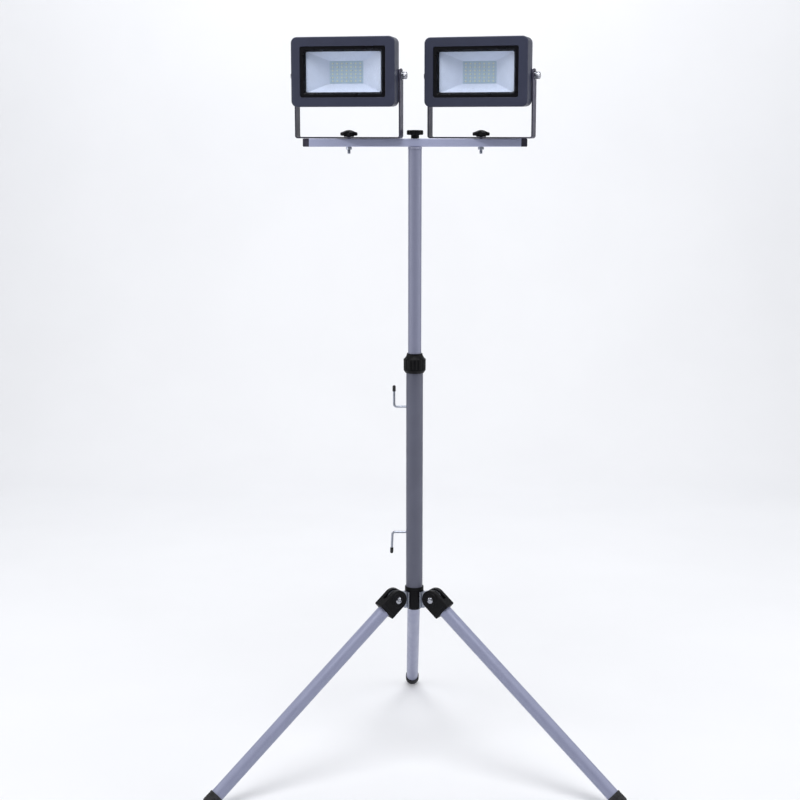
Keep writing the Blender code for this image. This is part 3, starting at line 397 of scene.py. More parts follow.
def vary_colour(tree, shader, colour, contrast, size):
    """Lets the base colour drift a little lighter and darker in soft blotches."""
    drift = spread(tree, noise(tree, size), 0.0, 1.0)
    result = mixed(tree, drift, shaded(colour, 1.0 - contrast), shaded(colour, 1.0 + contrast))
    tree.links.new(result, shader.inputs["Base Color"])
    return result


def vary_roughness(tree, shader, low, high, size):
    value = spread(tree, noise(tree, size), low, high)
    tree.links.new(value, shader.inputs["Roughness"])


def add_relief(tree, shader, height, *layers):
    """Bump from one or more noise layers, with their largest height in metres."""
    total = layers[0]
    for layer in layers[1:]:
        total = add_shader(tree, "Math", {0: total, 1: layer}, operation="ADD").outputs[0]
    bump = add_shader(tree, "Bump", {"Height": total, "Distance": height})
    tree.links.new(bump.outputs["Normal"], shader.inputs["Normal"])


def painted_edge_highlight(tree, shader, colour, edge_highlight_colour, start, end):
    """Paints a highlight on the convex edges: lightens them in patches, where light would catch them.
    """
    pointed = add_shader(tree, "NewGeometry").outputs["Pointiness"]
    highlight_patches = spread(tree, noise(tree, 6.0 * MM), 0.4, 1.0)
    # Painted highlight: this mask follows the mesh's pointiness at the convex edges.
    edge = spread(tree, pointed, 0.0, 1.0, start, end)
    amount = add_shader(tree, "Math", {0: edge, 1: highlight_patches}, operation="MULTIPLY").outputs[0]
    tree.links.new(mixed(tree, amount, colour, edge_highlight_colour), shader.inputs["Base Color"])


def powder_coat(name, colour, roughness, edge_highlight_colour):
    """Polyester powder coat, sprayed and baked.

    It gives an even satin colour, a faint orange peel about 1 mm across, drawn
    at 3 mm so that it shows, and a painted highlight that lightens the sharp edges.
    """
    tree, shader = start_finish(
        name, colour, roughness, IOR=1.5, Coat_Weight=0.15, Specular_IOR_Level=0.32
    )
    shader.inputs["Coat Roughness"].default_value = 0.25
    base = vary_colour(tree, shader, colour, 0.05, 45.0 * MM)
    # Painted highlight: the sharp edges are lightened towards a paler colour.
    painted_edge_highlight(tree, shader, base, edge_highlight_colour, 0.53, 0.62)
    vary_roughness(tree, shader, roughness - 0.05, roughness + 0.06, 25.0 * MM)
    add_relief(tree, shader, 0.12 * MM, noise(tree, 3.0 * MM, 1.0))


def metallic_coat(name, colour, roughness):
    """Silver-grey powder coat with aluminium flake on drawn steel tube.

    The flake gives a soft sheen along the tube, with a fine sparkle about
    0.2 mm across, drawn at 1.5 mm so that it shows.
    """
    tree, shader = start_finish(name, colour, roughness, 0.12, Coat_Weight=0.1)
    shader.inputs["Coat Roughness"].default_value = 0.3
    flake = spread(tree, noise(tree, 1.5 * MM, 2.0), 0.0, 1.0, 0.42, 0.58)
    sparkle = mixed(tree, flake, shaded(colour, 0.94), shaded(colour, 1.06))
    cloud = spread(tree, noise(tree, 60.0 * MM, stretch=(1.0, 1.0, 0.3)), 0.0, 1.0)
    base = mixed(tree, cloud, sparkle, shaded(colour, 1.04))
    tree.links.new(base, shader.inputs["Base Color"])
    vary_roughness(tree, shader, roughness - 0.06, roughness + 0.06, 18.0 * MM)
    add_relief(tree, shader, 0.06 * MM, noise(tree, 2.5 * MM, 1.0))


def moulded_nylon(name, colour, edge_highlight_colour):
    """Glass-filled nylon from a spark-eroded mould.

    It gives a near-black matt skin with grain about 0.3 mm across, drawn at
    1.2 mm so that it shows, and a painted highlight that lightens the edges.
    """
    tree, shader = start_finish(name, colour, 0.48, IOR=1.53, Specular_IOR_Level=0.15)
    base = vary_colour(tree, shader, colour, 0.15, 12.0 * MM)
    # Painted highlight: the edges are lightened towards a paler colour.
    painted_edge_highlight(tree, shader, base, edge_highlight_colour, 0.53, 0.64)
    vary_roughness(tree, shader, 0.40, 0.58, 8.0 * MM)
    add_relief(tree, shader, 0.08 * MM, noise(tree, 1.2 * MM, 2.0))


def gloss_abs(name, colour):
    """Moulded ABS with a semi-gloss skin, for the window's bezel: sharp, cool highlights."""
    tree, shader = start_finish(name, colour, 0.32, IOR=1.54, Specular_IOR_Level=0.15)
    vary_colour(tree, shader, colour, 0.1, 20.0 * MM)
    vary_roughness(tree, shader, 0.27, 0.38, 10.0 * MM)
    add_relief(tree, shader, 0.03 * MM, noise(tree, 4.0 * MM, 1.0))


def moulded_rubber(name, colour):
    """Filled natural rubber: matt, with a dusty bloom and a fine pitted skin."""
    tree, shader = start_finish(name, colour, 0.8, IOR=1.52)
    dust = spread(tree, noise(tree, 9.0 * MM, 4.0), 0.0, 1.0)
    base = mixed(tree, dust, colour, linear("2B2B30"))
    tree.links.new(base, shader.inputs["Base Color"])
    vary_roughness(tree, shader, 0.7, 0.88, 6.0 * MM)
    add_relief(tree, shader, 0.15 * MM, noise(tree, 1.6 * MM, 3.0))


def zinc_plate(name, colour):
    """Clear-passivated zinc on steel: cool grey, with soft crystalline clouds."""
    tree, shader = start_finish(name, colour, 0.34, 1.0)
    cells = add_shader(tree, "TexVoronoi", {"Scale": 1.0 / (2.5 * MM)}, feature="SMOOTH_F1")
    tree.links.new(add_shader(tree, "TexCoord").outputs["Object"], cells.inputs["Vector"])
    cloud = spread(tree, cells.outputs["Distance"], 0.0, 1.0, 0.1, 0.7)
    base = mixed(tree, cloud, shaded(colour, 1.12), shaded(colour, 0.85))
    tree.links.new(base, shader.inputs["Base Color"])
    vary_roughness(tree, shader, 0.26, 0.44, 3.0 * MM)
    add_relief(tree, shader, 0.04 * MM, noise(tree, 1.5 * MM, 2.0))


def bright_steel(name, colour):
    """Polished and nickel-plated steel: sharp dark and light reflections, with handling marks."""
    tree, shader = start_finish(name, colour, 0.16, 1.0)
    vary_colour(tree, shader, colour, 0.05, 4.0 * MM)
    vary_roughness(tree, shader, 0.1, 0.24, 3.0 * MM)
    add_relief(tree, shader, 0.02 * MM, noise(tree, 2.0 * MM, 1.0))


def white_aluminium(name, colour):
    """Pressed aluminium with a white reflective coat: smooth, bright and faintly hammered."""
    tree, shader = start_finish(name, colour, 0.42, IOR=1.5, Coat_Weight=0.3)
    shader.inputs["Coat Roughness"].default_value = 0.2
    vary_colour(tree, shader, colour, 0.03, 15.0 * MM)
    vary_roughness(tree, shader, 0.36, 0.5, 10.0 * MM)
    add_relief(tree, shader, 0.05 * MM, noise(tree, 4.0 * MM, 1.0))


def solder_mask(name, colour):
    """White solder mask over copper: tracks show through as slightly darker bands."""
    tree, shader = start_finish(name, colour, 0.4, IOR=1.5)
    place = add_shader(tree, "TexCoord").outputs["Object"]
    bands = add_shader(tree, "TexWave", {"Vector": place, "Scale": 50.0}, bands_direction="Z")
    track = spread(tree, bands.outputs["Fac"], 0.0, 1.0, 0.45, 0.55)
    base = mixed(tree, track, shaded(colour, 0.93), shaded(colour, 1.04))
    tree.links.new(base, shader.inputs["Base Color"])
    vary_roughness(tree, shader, 0.35, 0.48, 5.0 * MM)
    add_relief(tree, shader, 0.03 * MM, track)


def led_phosphor(name, colour):
    """Silicone loaded with yellow phosphor: waxy, translucent and slightly domed."""
    tree, shader = start_finish(name, colour, 0.3, IOR=1.41, Subsurface_Weight=0.2)
    shader.inputs["Subsurface Scale"].default_value = 0.5 * MM
    vary_colour(tree, shader, colour, 0.08, 1.5 * MM)
    vary_roughness(tree, shader, 0.22, 0.38, 1.0 * MM)
    add_relief(tree, shader, 0.02 * MM, noise(tree, 0.8 * MM, 1.0))


def white_resin(name, colour):
    """White moulded resin round each LED: bright and slightly chalky."""
    tree, shader = start_finish(name, colour, 0.5, IOR=1.55)
    vary_colour(tree, shader, colour, 0.04, 3.0 * MM)
    vary_roughness(tree, shader, 0.42, 0.58, 2.0 * MM)
    add_relief(tree, shader, 0.02 * MM, noise(tree, 0.6 * MM, 1.0))


def silicone(name, colour):
    """Extruded silicone: soft grey, with a faint bloom."""
    tree, shader = start_finish(name, colour, 0.62, IOR=1.41)
    vary_colour(tree, shader, colour, 0.08, 6.0 * MM)
    vary_roughness(tree, shader, 0.52, 0.72, 5.0 * MM)
    add_relief(tree, shader, 0.04 * MM, noise(tree, 1.0 * MM, 2.0))


def toughened_glass(name, colour):
    """Float glass, toughened: clear, with a faint green-blue cast and a hardly visible wave.

    Most of it is see-through, and what is left of it carries the reflections.
    """
    tree, shader = start_finish(name, colour, 0.03, IOR=1.52)
    shader.inputs["Alpha"].default_value = 0.1
    vary_roughness(tree, shader, 0.02, 0.05, 30.0 * MM)
    add_relief(tree, shader, 0.02 * MM, noise(tree, 60.0 * MM, 1.0))


def matt_paper(name, colour):
    """Seamless studio paper, lit from behind: even, matt and glowing a little, with a faint tooth."""
    tree, shader = start_finish(name, colour, 0.95, Specular_IOR_Level=0.1)
    shader.inputs["Emission Color"].default_value = (*colour, 1.0)
    shader.inputs["Emission Strength"].default_value = PAPER_GLOW
    vary_colour(tree, shader, colour, 0.01, 0.4)
    add_relief(tree, shader, 0.05 * MM, noise(tree, 2.0 * MM, 2.0))


def add_piece(name, mesh, finish, body, place=None, replaces=(), sharp=32.0):
    """One visible piece: its mesh at a place, its finish, and the body it moves with."""
    if not mesh.materials:
        mesh.materials.append(bpy.data.materials[finish])
        mesh.shade_smooth()
        mesh.set_sharp_from_angle(angle=math.radians(sharp))
    piece = bpy.data.objects.new(name, mesh)
    bpy.context.scene.collection.objects.link(piece)
    piece.matrix_world = place or Matrix.Identity(4)
    weighted = piece.modifiers.new("even shading", "WEIGHTED_NORMAL")
    weighted.keep_sharp = True
    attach(piece, body)
    if replaces:
        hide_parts(*replaces)
    return piece


def refinish(node, finish):
    """Gives a frame node its finish, where its shape is already right."""
    mesh = frame["nodes"][node].data
    mesh.materials.clear()
    mesh.materials.append(bpy.data.materials[finish])


# ---------------------------------------------------------------- settings

def length(name, description, default):
    return bpy.props.FloatProperty(
        name=name, description=description, default=default, min=0.0, unit="LENGTH", precision=5
    )


def colour(name, description, default):
    return bpy.props.FloatVectorProperty(
        name=name, description=description, default=linear(default), subtype="COLOR", size=3
    )


class WorkLightColours(bpy.types.PropertyGroup):
    """Colours of the finishes."""

    silver: colour("Silver Coat", "Leg tubes", "8D91AB")
    mast: colour("Mast Coat", "Upper mast", "7F8299")
    bar: colour("Bar Coat", "Crossbar", "A6ABC8")
    grey: colour("Grey Coat", "Lower mast", "5C5E6E")
    housing: colour("Housing Coat", "Die-cast lamp housings and rear covers", "303448")
    bracket: colour("Bracket Coat", "Lamp brackets", "2C2A3A")
    nylon: colour("Black Nylon", "Knobs, collar, hub and knuckles", "050508")
    cap: colour("Charcoal Nylon", "Plugs in the crossbar's ends", "302E3A")
    bezel: colour("Black ABS", "Bezels round the windows", "06060C")
    rubber: colour("Black Rubber", "Feet and hook tips", "141416")
    zinc: colour("Zinc Plate", "Hooks, lugs, studs and nuts", "A3A8B4")
    steel: colour("Bright Steel", "Tilt bolts, washers and rivets", "A4A6AE")
    reflector: colour("Reflector White", "Reflector inside each window", "DCE6FC")
    board: colour("LED Board", "Solder mask of the LED boards", "BAD3E4")
    phosphor: colour("LED Phosphor", "Yellow dome of each LED", "EEF2B4")
    resin: colour("LED Resin", "White body of each LED", "DDE6EC")
    silicone: colour("Silicone Grey", "Gasket behind the glass", "9A9AA0")
    glass: colour("Glass Tint", "Window panes", "C6D6EA")
    paper: colour("Studio Paper", "Floor and backdrop", "D9DADD")


class WorkLightTubes(bpy.types.PropertyGroup):
    """Sizes of the mast, the collar and the crossbar."""

    wall: length("Tube Wall", "Wall of the mast and leg tubes", 1.2 * MM)
    edge: length("Tube Edge", "How far a tube's cut edge is rolled over", 0.35 * MM)
    bar_wall: length("Bar Wall", "Wall of the square crossbar", 1.2 * MM)
    bar_corner: length("Bar Corner", "Outside corner of the crossbar", 1.6 * MM)
    ribs: bpy.props.IntProperty(
        name="Collar Ribs", description="Grip ribs round the collar nut", default=12, min=3
    )
    rib_depth: length("Rib Depth", "Depth of the grooves between the ribs", 1.1 * MM)


class WorkLightLegs(bpy.types.PropertyGroup):
    """Sizes of the knuckles, the lugs and the feet."""

    slope: bpy.props.FloatProperty(
        name="Leg Slope",
        description="Angle of the open legs below level",
        default=math.radians(40.0),
        subtype="ANGLE",
    )
    knuckle_radius: length("Knuckle Radius", "Round end of the fork", 19.0 * MM)
    knuckle_width: length("Knuckle Width", "Across both cheeks", 29.5 * MM)
    knuckle_length: length("Knuckle Length", "From the rivet to the socket's mouth", 33.0 * MM)
    knuckle_slot: length("Knuckle Slot", "Slot that takes the lug", 8.8 * MM)
    socket: length("Socket Bottom", "From the rivet to the end of the leg tube", 18.5 * MM)
    lug_radius: length("Lug Radius", "Round end of the steel lug", 15.5 * MM)
    lug_thickness: length("Lug Thickness", "Thickness of the steel lug", 8.0 * MM)
    rivet_radius: length("Rivet Radius", "Shank of the rivet", 4.0 * MM)
    foot_sleeve: length("Foot Sleeve", "Length of the foot that grips the tube", 17.0 * MM)
    foot_rounding: length("Foot Rounding", "Rounding of the foot's end", 7.0 * MM)


class WorkLightFittings(bpy.types.PropertyGroup):
    """Sizes of the knobs, studs, bolts and hooks."""

    lobes: bpy.props.IntProperty(
        name="Knob Lobes", description="Lobes of each star knob", default=6, min=3
    )
    lobe_depth: length("Lobe Depth", "Depth of the hollows between the lobes", 3.2 * MM)
    thread_pitch: length("Thread Pitch", "Pitch of the studs' threads", 1.0 * MM)
    nut_flats: length("Nut Across Flats", "Nuts under the crossbar", 10.0 * MM)
    bolt_flats: length("Bolt Across Flats", "Heads of the tilt bolts", 13.0 * MM)
    hook_wire: length("Hook Wire", "Radius of the hooks' wire", 2.2 * MM)
    hook_bend: length("Hook Bend", "Bend of the hooks' wire", 5.0 * MM)
    tip_length: length("Tip Length", "Length of the hooks' rubber tips", 12.0 * MM)


class WorkLightHeads(bpy.types.PropertyGroup):
    """Sizes of the lamp heads."""

    rise: length("Rise", "Height of a head's middle above its tilt axis", 6.0 * MM)
    corner: length("Corner", "Outside corner of the housing", 11.0 * MM)
    opening_width: length("Opening Width", "Front opening of the housing", 161.0 * MM)
    opening_height: length("Opening Height", "Front opening of the housing", 91.3 * MM)
    window_width: length("Window Width", "Clear window inside the bezel", 141.0 * MM)
    window_height: length("Window Height", "Clear window inside the bezel", 72.3 * MM)
    throat_width: length("Throat Width", "Rear opening of the reflector", 64.0 * MM)
    throat_height: length("Throat Height", "Rear opening of the reflector", 40.5 * MM)
    led_columns: bpy.props.IntProperty(
        name="LED Columns", description="LEDs across the board", default=7, min=1
    )
    led_rows: bpy.props.IntProperty(
        name="LED Rows", description="LEDs up the board", default=6, min=1
    )
    led_pitch_x: length("LED Pitch Across", "Spacing of the LED columns", 8.75 * MM)
    led_pitch_z: length("LED Pitch Up", "Spacing of the LED rows", 6.25 * MM)
    strip: length("Bracket Strip", "Thickness of the bracket's steel strip", 2.5 * MM)
    screw_across: length("Screw Spacing Across", "Cover screws, centre to centre", 108.0 * MM)
    screw_up: length("Screw Spacing Up", "Cover screws, centre to centre", 56.0 * MM)


class WorkLightStudio(bpy.types.PropertyGroup):
    """Camera and lights."""

    camera_distance: length("Camera Distance", "From the mast's axis to the camera", 2.8784)
    camera_height: length("Camera Height", "Camera above the floor", 1.2406)
    camera_aside: length("Camera Aside", "Camera to the left of the mast", 0.0278)
    camera_pitch: bpy.props.FloatProperty(
        name="Camera Pitch",
        description="How far the camera looks down",
        default=math.radians(10.06),
        subtype="ANGLE",
    )
    lens: bpy.props.FloatProperty(
        name="Lens", description="Focal length on a 36 mm sensor, in mm", default=69.0
    )
    key: bpy.props.FloatProperty(
        name="Front Lights", description="Power of each front corner light, in watts", default=7.0
    )
    side: bpy.props.FloatProperty(
        name="Side Lights", description="Power of each side light, in watts", default=25.0
    )
    top: bpy.props.FloatProperty(
        name="Top Light", description="Power of the light overhead, in watts", default=145.0
    )
    backdrop: bpy.props.FloatProperty(
        name="Backdrop Light", description="Power of the light on the backdrop", default=50.0
    )
    sky: bpy.props.FloatProperty(
        name="Room Light", description="Strength of the even room light", default=0.1
    )


# ---------------------------------------------------------------- mast and collar

def tube_mesh(radius, wall, low, high, edge):
    """A round tube along Z with its cut edges rolled over."""
    inner = radius - wall
    return ring_solid([(radius, low), (radius, high), (inner, high), (inner, low)], edge)


def add_masts(tubes):
    """Both mast tubes, and the plugs in the upper one."""
    place = mast_place()
    for node, body, finish, slot in (
        ("lower_mast", "stand", "grey powder coat", "grey_coat"),
        ("upper_mast", "upper_mast", "mast powder coat", "silver_coat"),
    ):
        low, high = local_box(node, place)
        mesh = tube_mesh(high.x, tubes.wall, low.z, high.z, tubes.edge)
        add_piece(node + "_tube", mesh, finish, body, place, [node])
    refinish("mast_guide", "black moulded nylon")
    refinish("mast_top_plug", "grey moulded nylon")


def ribbed(radius, depth, count):
    """A reach function for square-shouldered ribs round a grip."""

    def reach(angle):
        wave = 0.5 - 0.5 * math.cos(count * angle)
        return radius - depth * max(0.0, (wave - 0.55) / 0.45) ** 0.7

    return reach


def collar_nut_mesh(low, high, bore, tubes):
    """Ribbed grip with a tapered crown, open below for the collet."""
    sides = tubes.ribs * 16
    radius = high.x
    shoulder = low.z + 0.66 * (high.z - low.z)
    crown = 0.70 * radius
    wide = [(0.0, 0.6), (0.5, 0.15), (1.2, 0.0)]
    rings = []
    for up, inset in wide:
        reach = ribbed(radius - inset * MM, tubes.rib_depth, tubes.ribs)
        rings.append(polar_ring(reach, low.z + up * MM, sides))
    for up, inset in ((-1.6, 0.0), (-0.6, 0.25), (0.0, 0.9)):
        fade = tubes.rib_depth * (1.0 if up < -1.0 else 0.5)
        reach = ribbed(radius - inset * MM, fade, tubes.ribs)
        rings.append(polar_ring(reach, shoulder + up * MM, sides))
    for share in (0.12, 0.35, 0.65, 0.88, 1.0):
        taper = radius - 1.6 * MM + (crown - radius + 1.6 * MM) * math.sin(share * math.pi / 2.0)
        rings.append(circle(taper, shoulder + share * (high.z - shoulder), sides))
    thread = radius - 2.4 * MM
    for inner, height in (
        (bore + 0.5 * MM, high.z),
        (bore, high.z - 0.4 * MM),
        (bore, high.z - 2.7 * MM),
        (thread, shoulder - 1.5 * MM),
        (thread, low.z),
    ):
        rings.append(circle(inner, height, sides))
    return loft(rings, closed=True)


def add_collar(tubes):
    """The clamp between the masts: sleeve, split collet and ribbed nut."""
    place = mast_place()
    pipe = local_box("lower_mast", place)[1].x
    low, high = local_box("collar_sleeve", place)
    bore = pipe + GAP
    nut_low, nut_high = local_box("collar_nut", place)
    split = nut_low.z - GAP
    thread = high.x - 2.7 * MM
    outline = [
        (bore, low.z),
        (high.x - 3.5 * MM, low.z),
        (high.x, split - 2.0 * MM),
        (high.x, split),
        (thread, split),
        (thread, high.z),
        (bore, high.z),
    ]
    sleeve = ring_solid(outline, 0.6 * MM)
    add_piece(
        "collar_sleeve_body", sleeve, "black moulded nylon", "stand", place,
        ["collar_sleeve"],
    )
    inner = local_box("upper_mast", place)[1].x + 0.4 * MM
    nut = collar_nut_mesh(nut_low, nut_high, inner, tubes)
    add_piece(
        "collar_nut_grip", nut, "black moulded nylon", "collar_nut", place,
        ["collar_nut"],
    )
    refinish("collet", "black moulded nylon")


# ---------------------------------------------------------------- tripod

def hub_mesh(low, high, pipe):
    """Moulded column with a flat at each leg, a collar round the mast and a spigot in it."""
    radius = high.x
    flat = radius - 3.2 * MM
    collar = high.z - 14.0 * MM
    headings = [math.radians(a) for a in (-150.0, -30.0, 90.0)]

    def flatted(inset, cut_at):
        def reach(angle):
            off_leg = min(
                abs((angle - heading + math.pi) % math.tau - math.pi) for heading in headings
            )
            limit = cut_at / math.cos(off_leg) if off_leg < 1.2 else radius
            return min(radius - inset, limit)

        return reach

    top = high.z - 6.0 * MM
    sides = 144
    rings = []
    for up, inset in ((0.0, 1.6), (0.4, 0.8), (1.0, 0.25), (1.8, 0.0)):
        reach = flatted(inset * MM, flat - inset * MM)
        rings.append(polar_ring(reach, low.z + up * MM, sides))
    rings.append(polar_ring(flatted(0.0, flat), collar - 0.9 * MM, sides))
    for up, inset in ((-0.7, 0.5), (-0.4, 0.1), (0.0, 0.0)):
        rings.append(circle(radius - inset * MM, collar + up * MM, sides))
    for up, inset in ((-1.0, 0.0), (-0.4, 0.2), (0.0, 0.8)):
        rings.append(circle(radius - inset * MM, top + up * MM, sides))
    rings.append(circle(pipe + GAP, top, sides))
    rings.append(circle(pipe + GAP, top - 8.0 * MM, sides))
    rings.append(circle(pipe - 1.8 * MM, top - 8.0 * MM, sides))
    rings.append(circle(pipe - 1.8 * MM, high.z - 1.0 * MM, sides))
    rings.append(circle(pipe - 2.8 * MM, high.z, sides))
    return loft(rings)


def lug_mesh(low, high, legs):
    """Steel plate with a welded foot on the hub and a nose that stops the open leg."""
    radius = legs.lug_radius
    foot = low.x + 3.0 * MM
    nose = Matrix.Rotation(legs.slope, 2) @ Vector((15.7 * MM, -10.0 * MM))
    pad_top = low.z + 31.7 * MM
    clear = legs.knuckle_radius + 0.8 * MM
    outline = [(foot - 1.0 * MM, low.z), (-clear, low.z), (-clear, -radius), (0.0, -radius)]
    outline += arc(radius, -90.0, -math.degrees(legs.slope), 14)[1:]
    outline.append((nose.x, -nose.y))
    outline += arc(radius + 0.5 * MM, 20.0, 90.0, 20)
    outline.append((foot - 1.0 * MM, pad_top))
    half = legs.lug_thickness / 2.0
    plate = extruded(outline, -half, half)
    pad = block((low.x, low.y, low.z), (foot, high.y, pad_top))
    hole = rod(legs.rivet_radius + GAP, -2.0 * half, 2.0 * half, "Y")
    return softened(cut(joined(pad, plate), hole), 0.6 * MM, 3)


def knuckle_mesh(legs):
    """Moulded fork: two round cheeks with raised bosses, and a square end that takes the tube."""
    radius = legs.knuckle_radius
    end = legs.knuckle_length
    half = legs.knuckle_width / 2.0
    corner = 2.2 * MM
    outline = arc(radius, 90.0, 270.0, 40)
    outline += arc(corner, -90.0, 0.0, 5, (end - corner, -radius + corner))
    outline += arc(corner, 0.0, 90.0, 5, (end - corner, radius - corner))
    recessed = half - 0.9 * MM
    body = softened(extruded(outline, -recessed, recessed), 1.4 * MM, 4, 50.0)
    boss_edge = [
        (14.6 * MM, half - 2.0 * MM),
        (14.6 * MM, half - 0.5 * MM),
        (14.1 * MM, half),
    ]
    profile = [(r, -h) for r, h in boss_edge[::-1]] + boss_edge
    bosses = moved(turned(profile), Matrix.Rotation(math.radians(90.0), 4, "X"))
    collar = softened(
        block(
            (end - 7.0 * MM, -half, -radius + 0.8 * MM),
            (end - 2.0 * MM, half, radius - 0.8 * MM),
        ),
        0.8 * MM,
        3,
    )
    slot = block(
        (-2.0 * radius, -legs.knuckle_slot / 2.0, -2.0 * radius),
        (16.0 * MM, legs.knuckle_slot / 2.0, 2.0 * radius),
    )
    socket = rod(13.0 * MM, legs.socket, 2.0 * end, "X", ROUND)
    hole = rod(legs.rivet_radius + GAP, -2.0 * half, 2.0 * half, "Y")
    rings = []
    for side in (-1.0, 1.0):
        groove = [(11.4 * MM, half - 0.5 * MM), (11.4 * MM, half + MM)]
        groove += [(10.4 * MM, half + MM), (10.4 * MM, half - 0.5 * MM)]
        ring = turned([(r, side * h) for r, h in groove], closed=True)
        rings.append(moved(ring, Matrix.Rotation(math.radians(90.0), 4, "X")))
    fork = cut(joined(body, bosses, collar), slot, socket, hole, *rings)
    return moved(fork, Matrix.Rotation(legs.slope, 4, "Y"))


def rivet_mesh(legs):
    """Semi-tubular rivet: a domed head on one side, a rolled-over ring on the other."""
    shank = legs.rivet_radius
    head = shank + 2.2 * MM
    start = legs.knuckle_width / 2.0 + GAP
    dome = [
        (head * math.cos(a), start + 0.3 * MM + 2.1 * MM * math.sin(a))
        for a in (math.radians(12.0 * i) for i in range(8))
    ]
    front = [(shank, start), (head, start)] + dome[:7]
    rolled = [
        (1.2 * MM, start + 0.2 * MM),
        (2.0 * MM, start + 1.2 * MM),
        (3.2 * MM, start + 2.0 * MM),
        (4.6 * MM, start + 1.8 * MM),
        (head, start + 0.7 * MM),
        (head, start),
        (shank, start),
    ]
    profile = [(r, -h) for r, h in rolled] + front
    return moved(turned(profile, SMALL_ROUND), Matrix.Rotation(math.radians(90.0), 4, "X"))


def foot_mesh(length_out, radius, sleeve_radius, floor, legs):
    """Moulded rubber foot with a lip and two grooves, worn flat where it stands."""
    bottom = length_out - 9.5 * MM
    rim = bottom - legs.foot_sleeve
    end = length_out - legs.foot_rounding
    profile = [
        (sleeve_radius, bottom),
        (sleeve_radius, rim),
        (radius - 0.7 * MM, rim),
        (radius - 0.2 * MM, rim + 0.4 * MM),
        (radius, rim + 1.0 * MM),
        (radius, rim + 2.6 * MM),
    ]
    for groove in (5.0, 9.0):
        start = rim + groove * MM
        profile += [
            (radius, start - 0.8 * MM),
            (radius - 0.7 * MM, start),
            (radius - 0.7 * MM, start + 0.6 * MM),
            (radius, start + 1.4 * MM),
        ]
    profile += arc(legs.foot_rounding, 0.0, 86.0, 14, (radius - legs.foot_rounding, end))
    profile.append((0.3 * MM, length_out))
    tilt = Matrix.Rotation(legs.slope, 4, "Y") @ Matrix.Rotation(math.radians(90.0), 4, "Y")
    cap = moved(turned(profile), tilt)
    below = block((0.0, -0.1, floor - 0.05), (length_out, 0.1, floor))
    return cut(cap, below)


def add_hub(legs):
    """Hub column and the three steel lugs on it."""
    place = mast_place()
    low, high = local_box("tripod_hub", place)
    pipe = local_box("lower_mast", place)[1].x
    hub = hub_mesh(low, high, pipe)
    add_piece(
        "tripod_hub_body", hub, "black moulded nylon", "stand", place,
        ["tripod_hub"],
    )
    low, high = local_box("leg_lug_rear", leg_place("rear"))
    plate = lug_mesh(low, high, legs)
    for side in LEGS:
        add_piece(
            "lug_plate_" + side, plate, "zinc plate", "stand", leg_place(side),
            ["leg_lug_" + side],
        )


def add_legs(tubes, legs):
    """Knuckles, rivets, tubes and feet of the three legs."""
    place = leg_place("rear")
    aligned = place @ Matrix.Rotation(legs.slope, 4, "Y")
    tube_low, tube_high = local_box("leg_tube_rear", aligned)
    foot_high = local_box("leg_foot_rear", aligned)[1]
    floor = local_box("leg_foot_rear", place)[0].z
    length_out = tube_high.x + 9.8 * MM
    radius = tube_high.z
    tube = tube_mesh(radius, tubes.wall, tube_low.x, tube_high.x, tubes.edge)
    tilt = Matrix.Rotation(legs.slope, 4, "Y") @ Matrix.Rotation(math.radians(90.0), 4, "Y")
    moved(tube, tilt)
    knuckle = knuckle_mesh(legs)
    rivet = rivet_mesh(legs)
    foot = foot_mesh(length_out, foot_high.y, radius + GAP, floor, legs)
    for side in LEGS:
        place = leg_place(side)
        body = "leg_" + side
        add_piece(
            "knuckle_fork_" + side, knuckle, "black moulded nylon", body, place,
            ["leg_knuckle_" + side],
        )
        add_piece(
            "leg_pipe_" + side, tube, "silver powder coat", body, place,
            ["leg_tube_" + side],
        )
        add_piece(
            "foot_cap_" + side, foot, "black rubber", body, place,
            ["leg_foot_" + side],
        )
        add_piece(
            "rivet_pin_" + side, rivet, "bright steel", "stand", place,
            ["leg_rivet_" + side],
        )


# ---------------------------------------------------------------- hooks

def bar_along(points, radius, sides):
    """A round bar that follows a path in the XZ plane."""
    across = Vector((0.0, 1.0, 0.0))
    last = len(points) - 1
    angles = [math.tau * k / sides for k in range(sides)]
    rings = []
    for i, point in enumerate(points):
        along = (points[min(i + 1, last)] - points[max(i - 1, 0)]).normalized()
        up = along.cross(across)
        rings.append([point + radius * (math.cos(a) * across + math.sin(a) * up) for a in angles])
    return loft(rings)


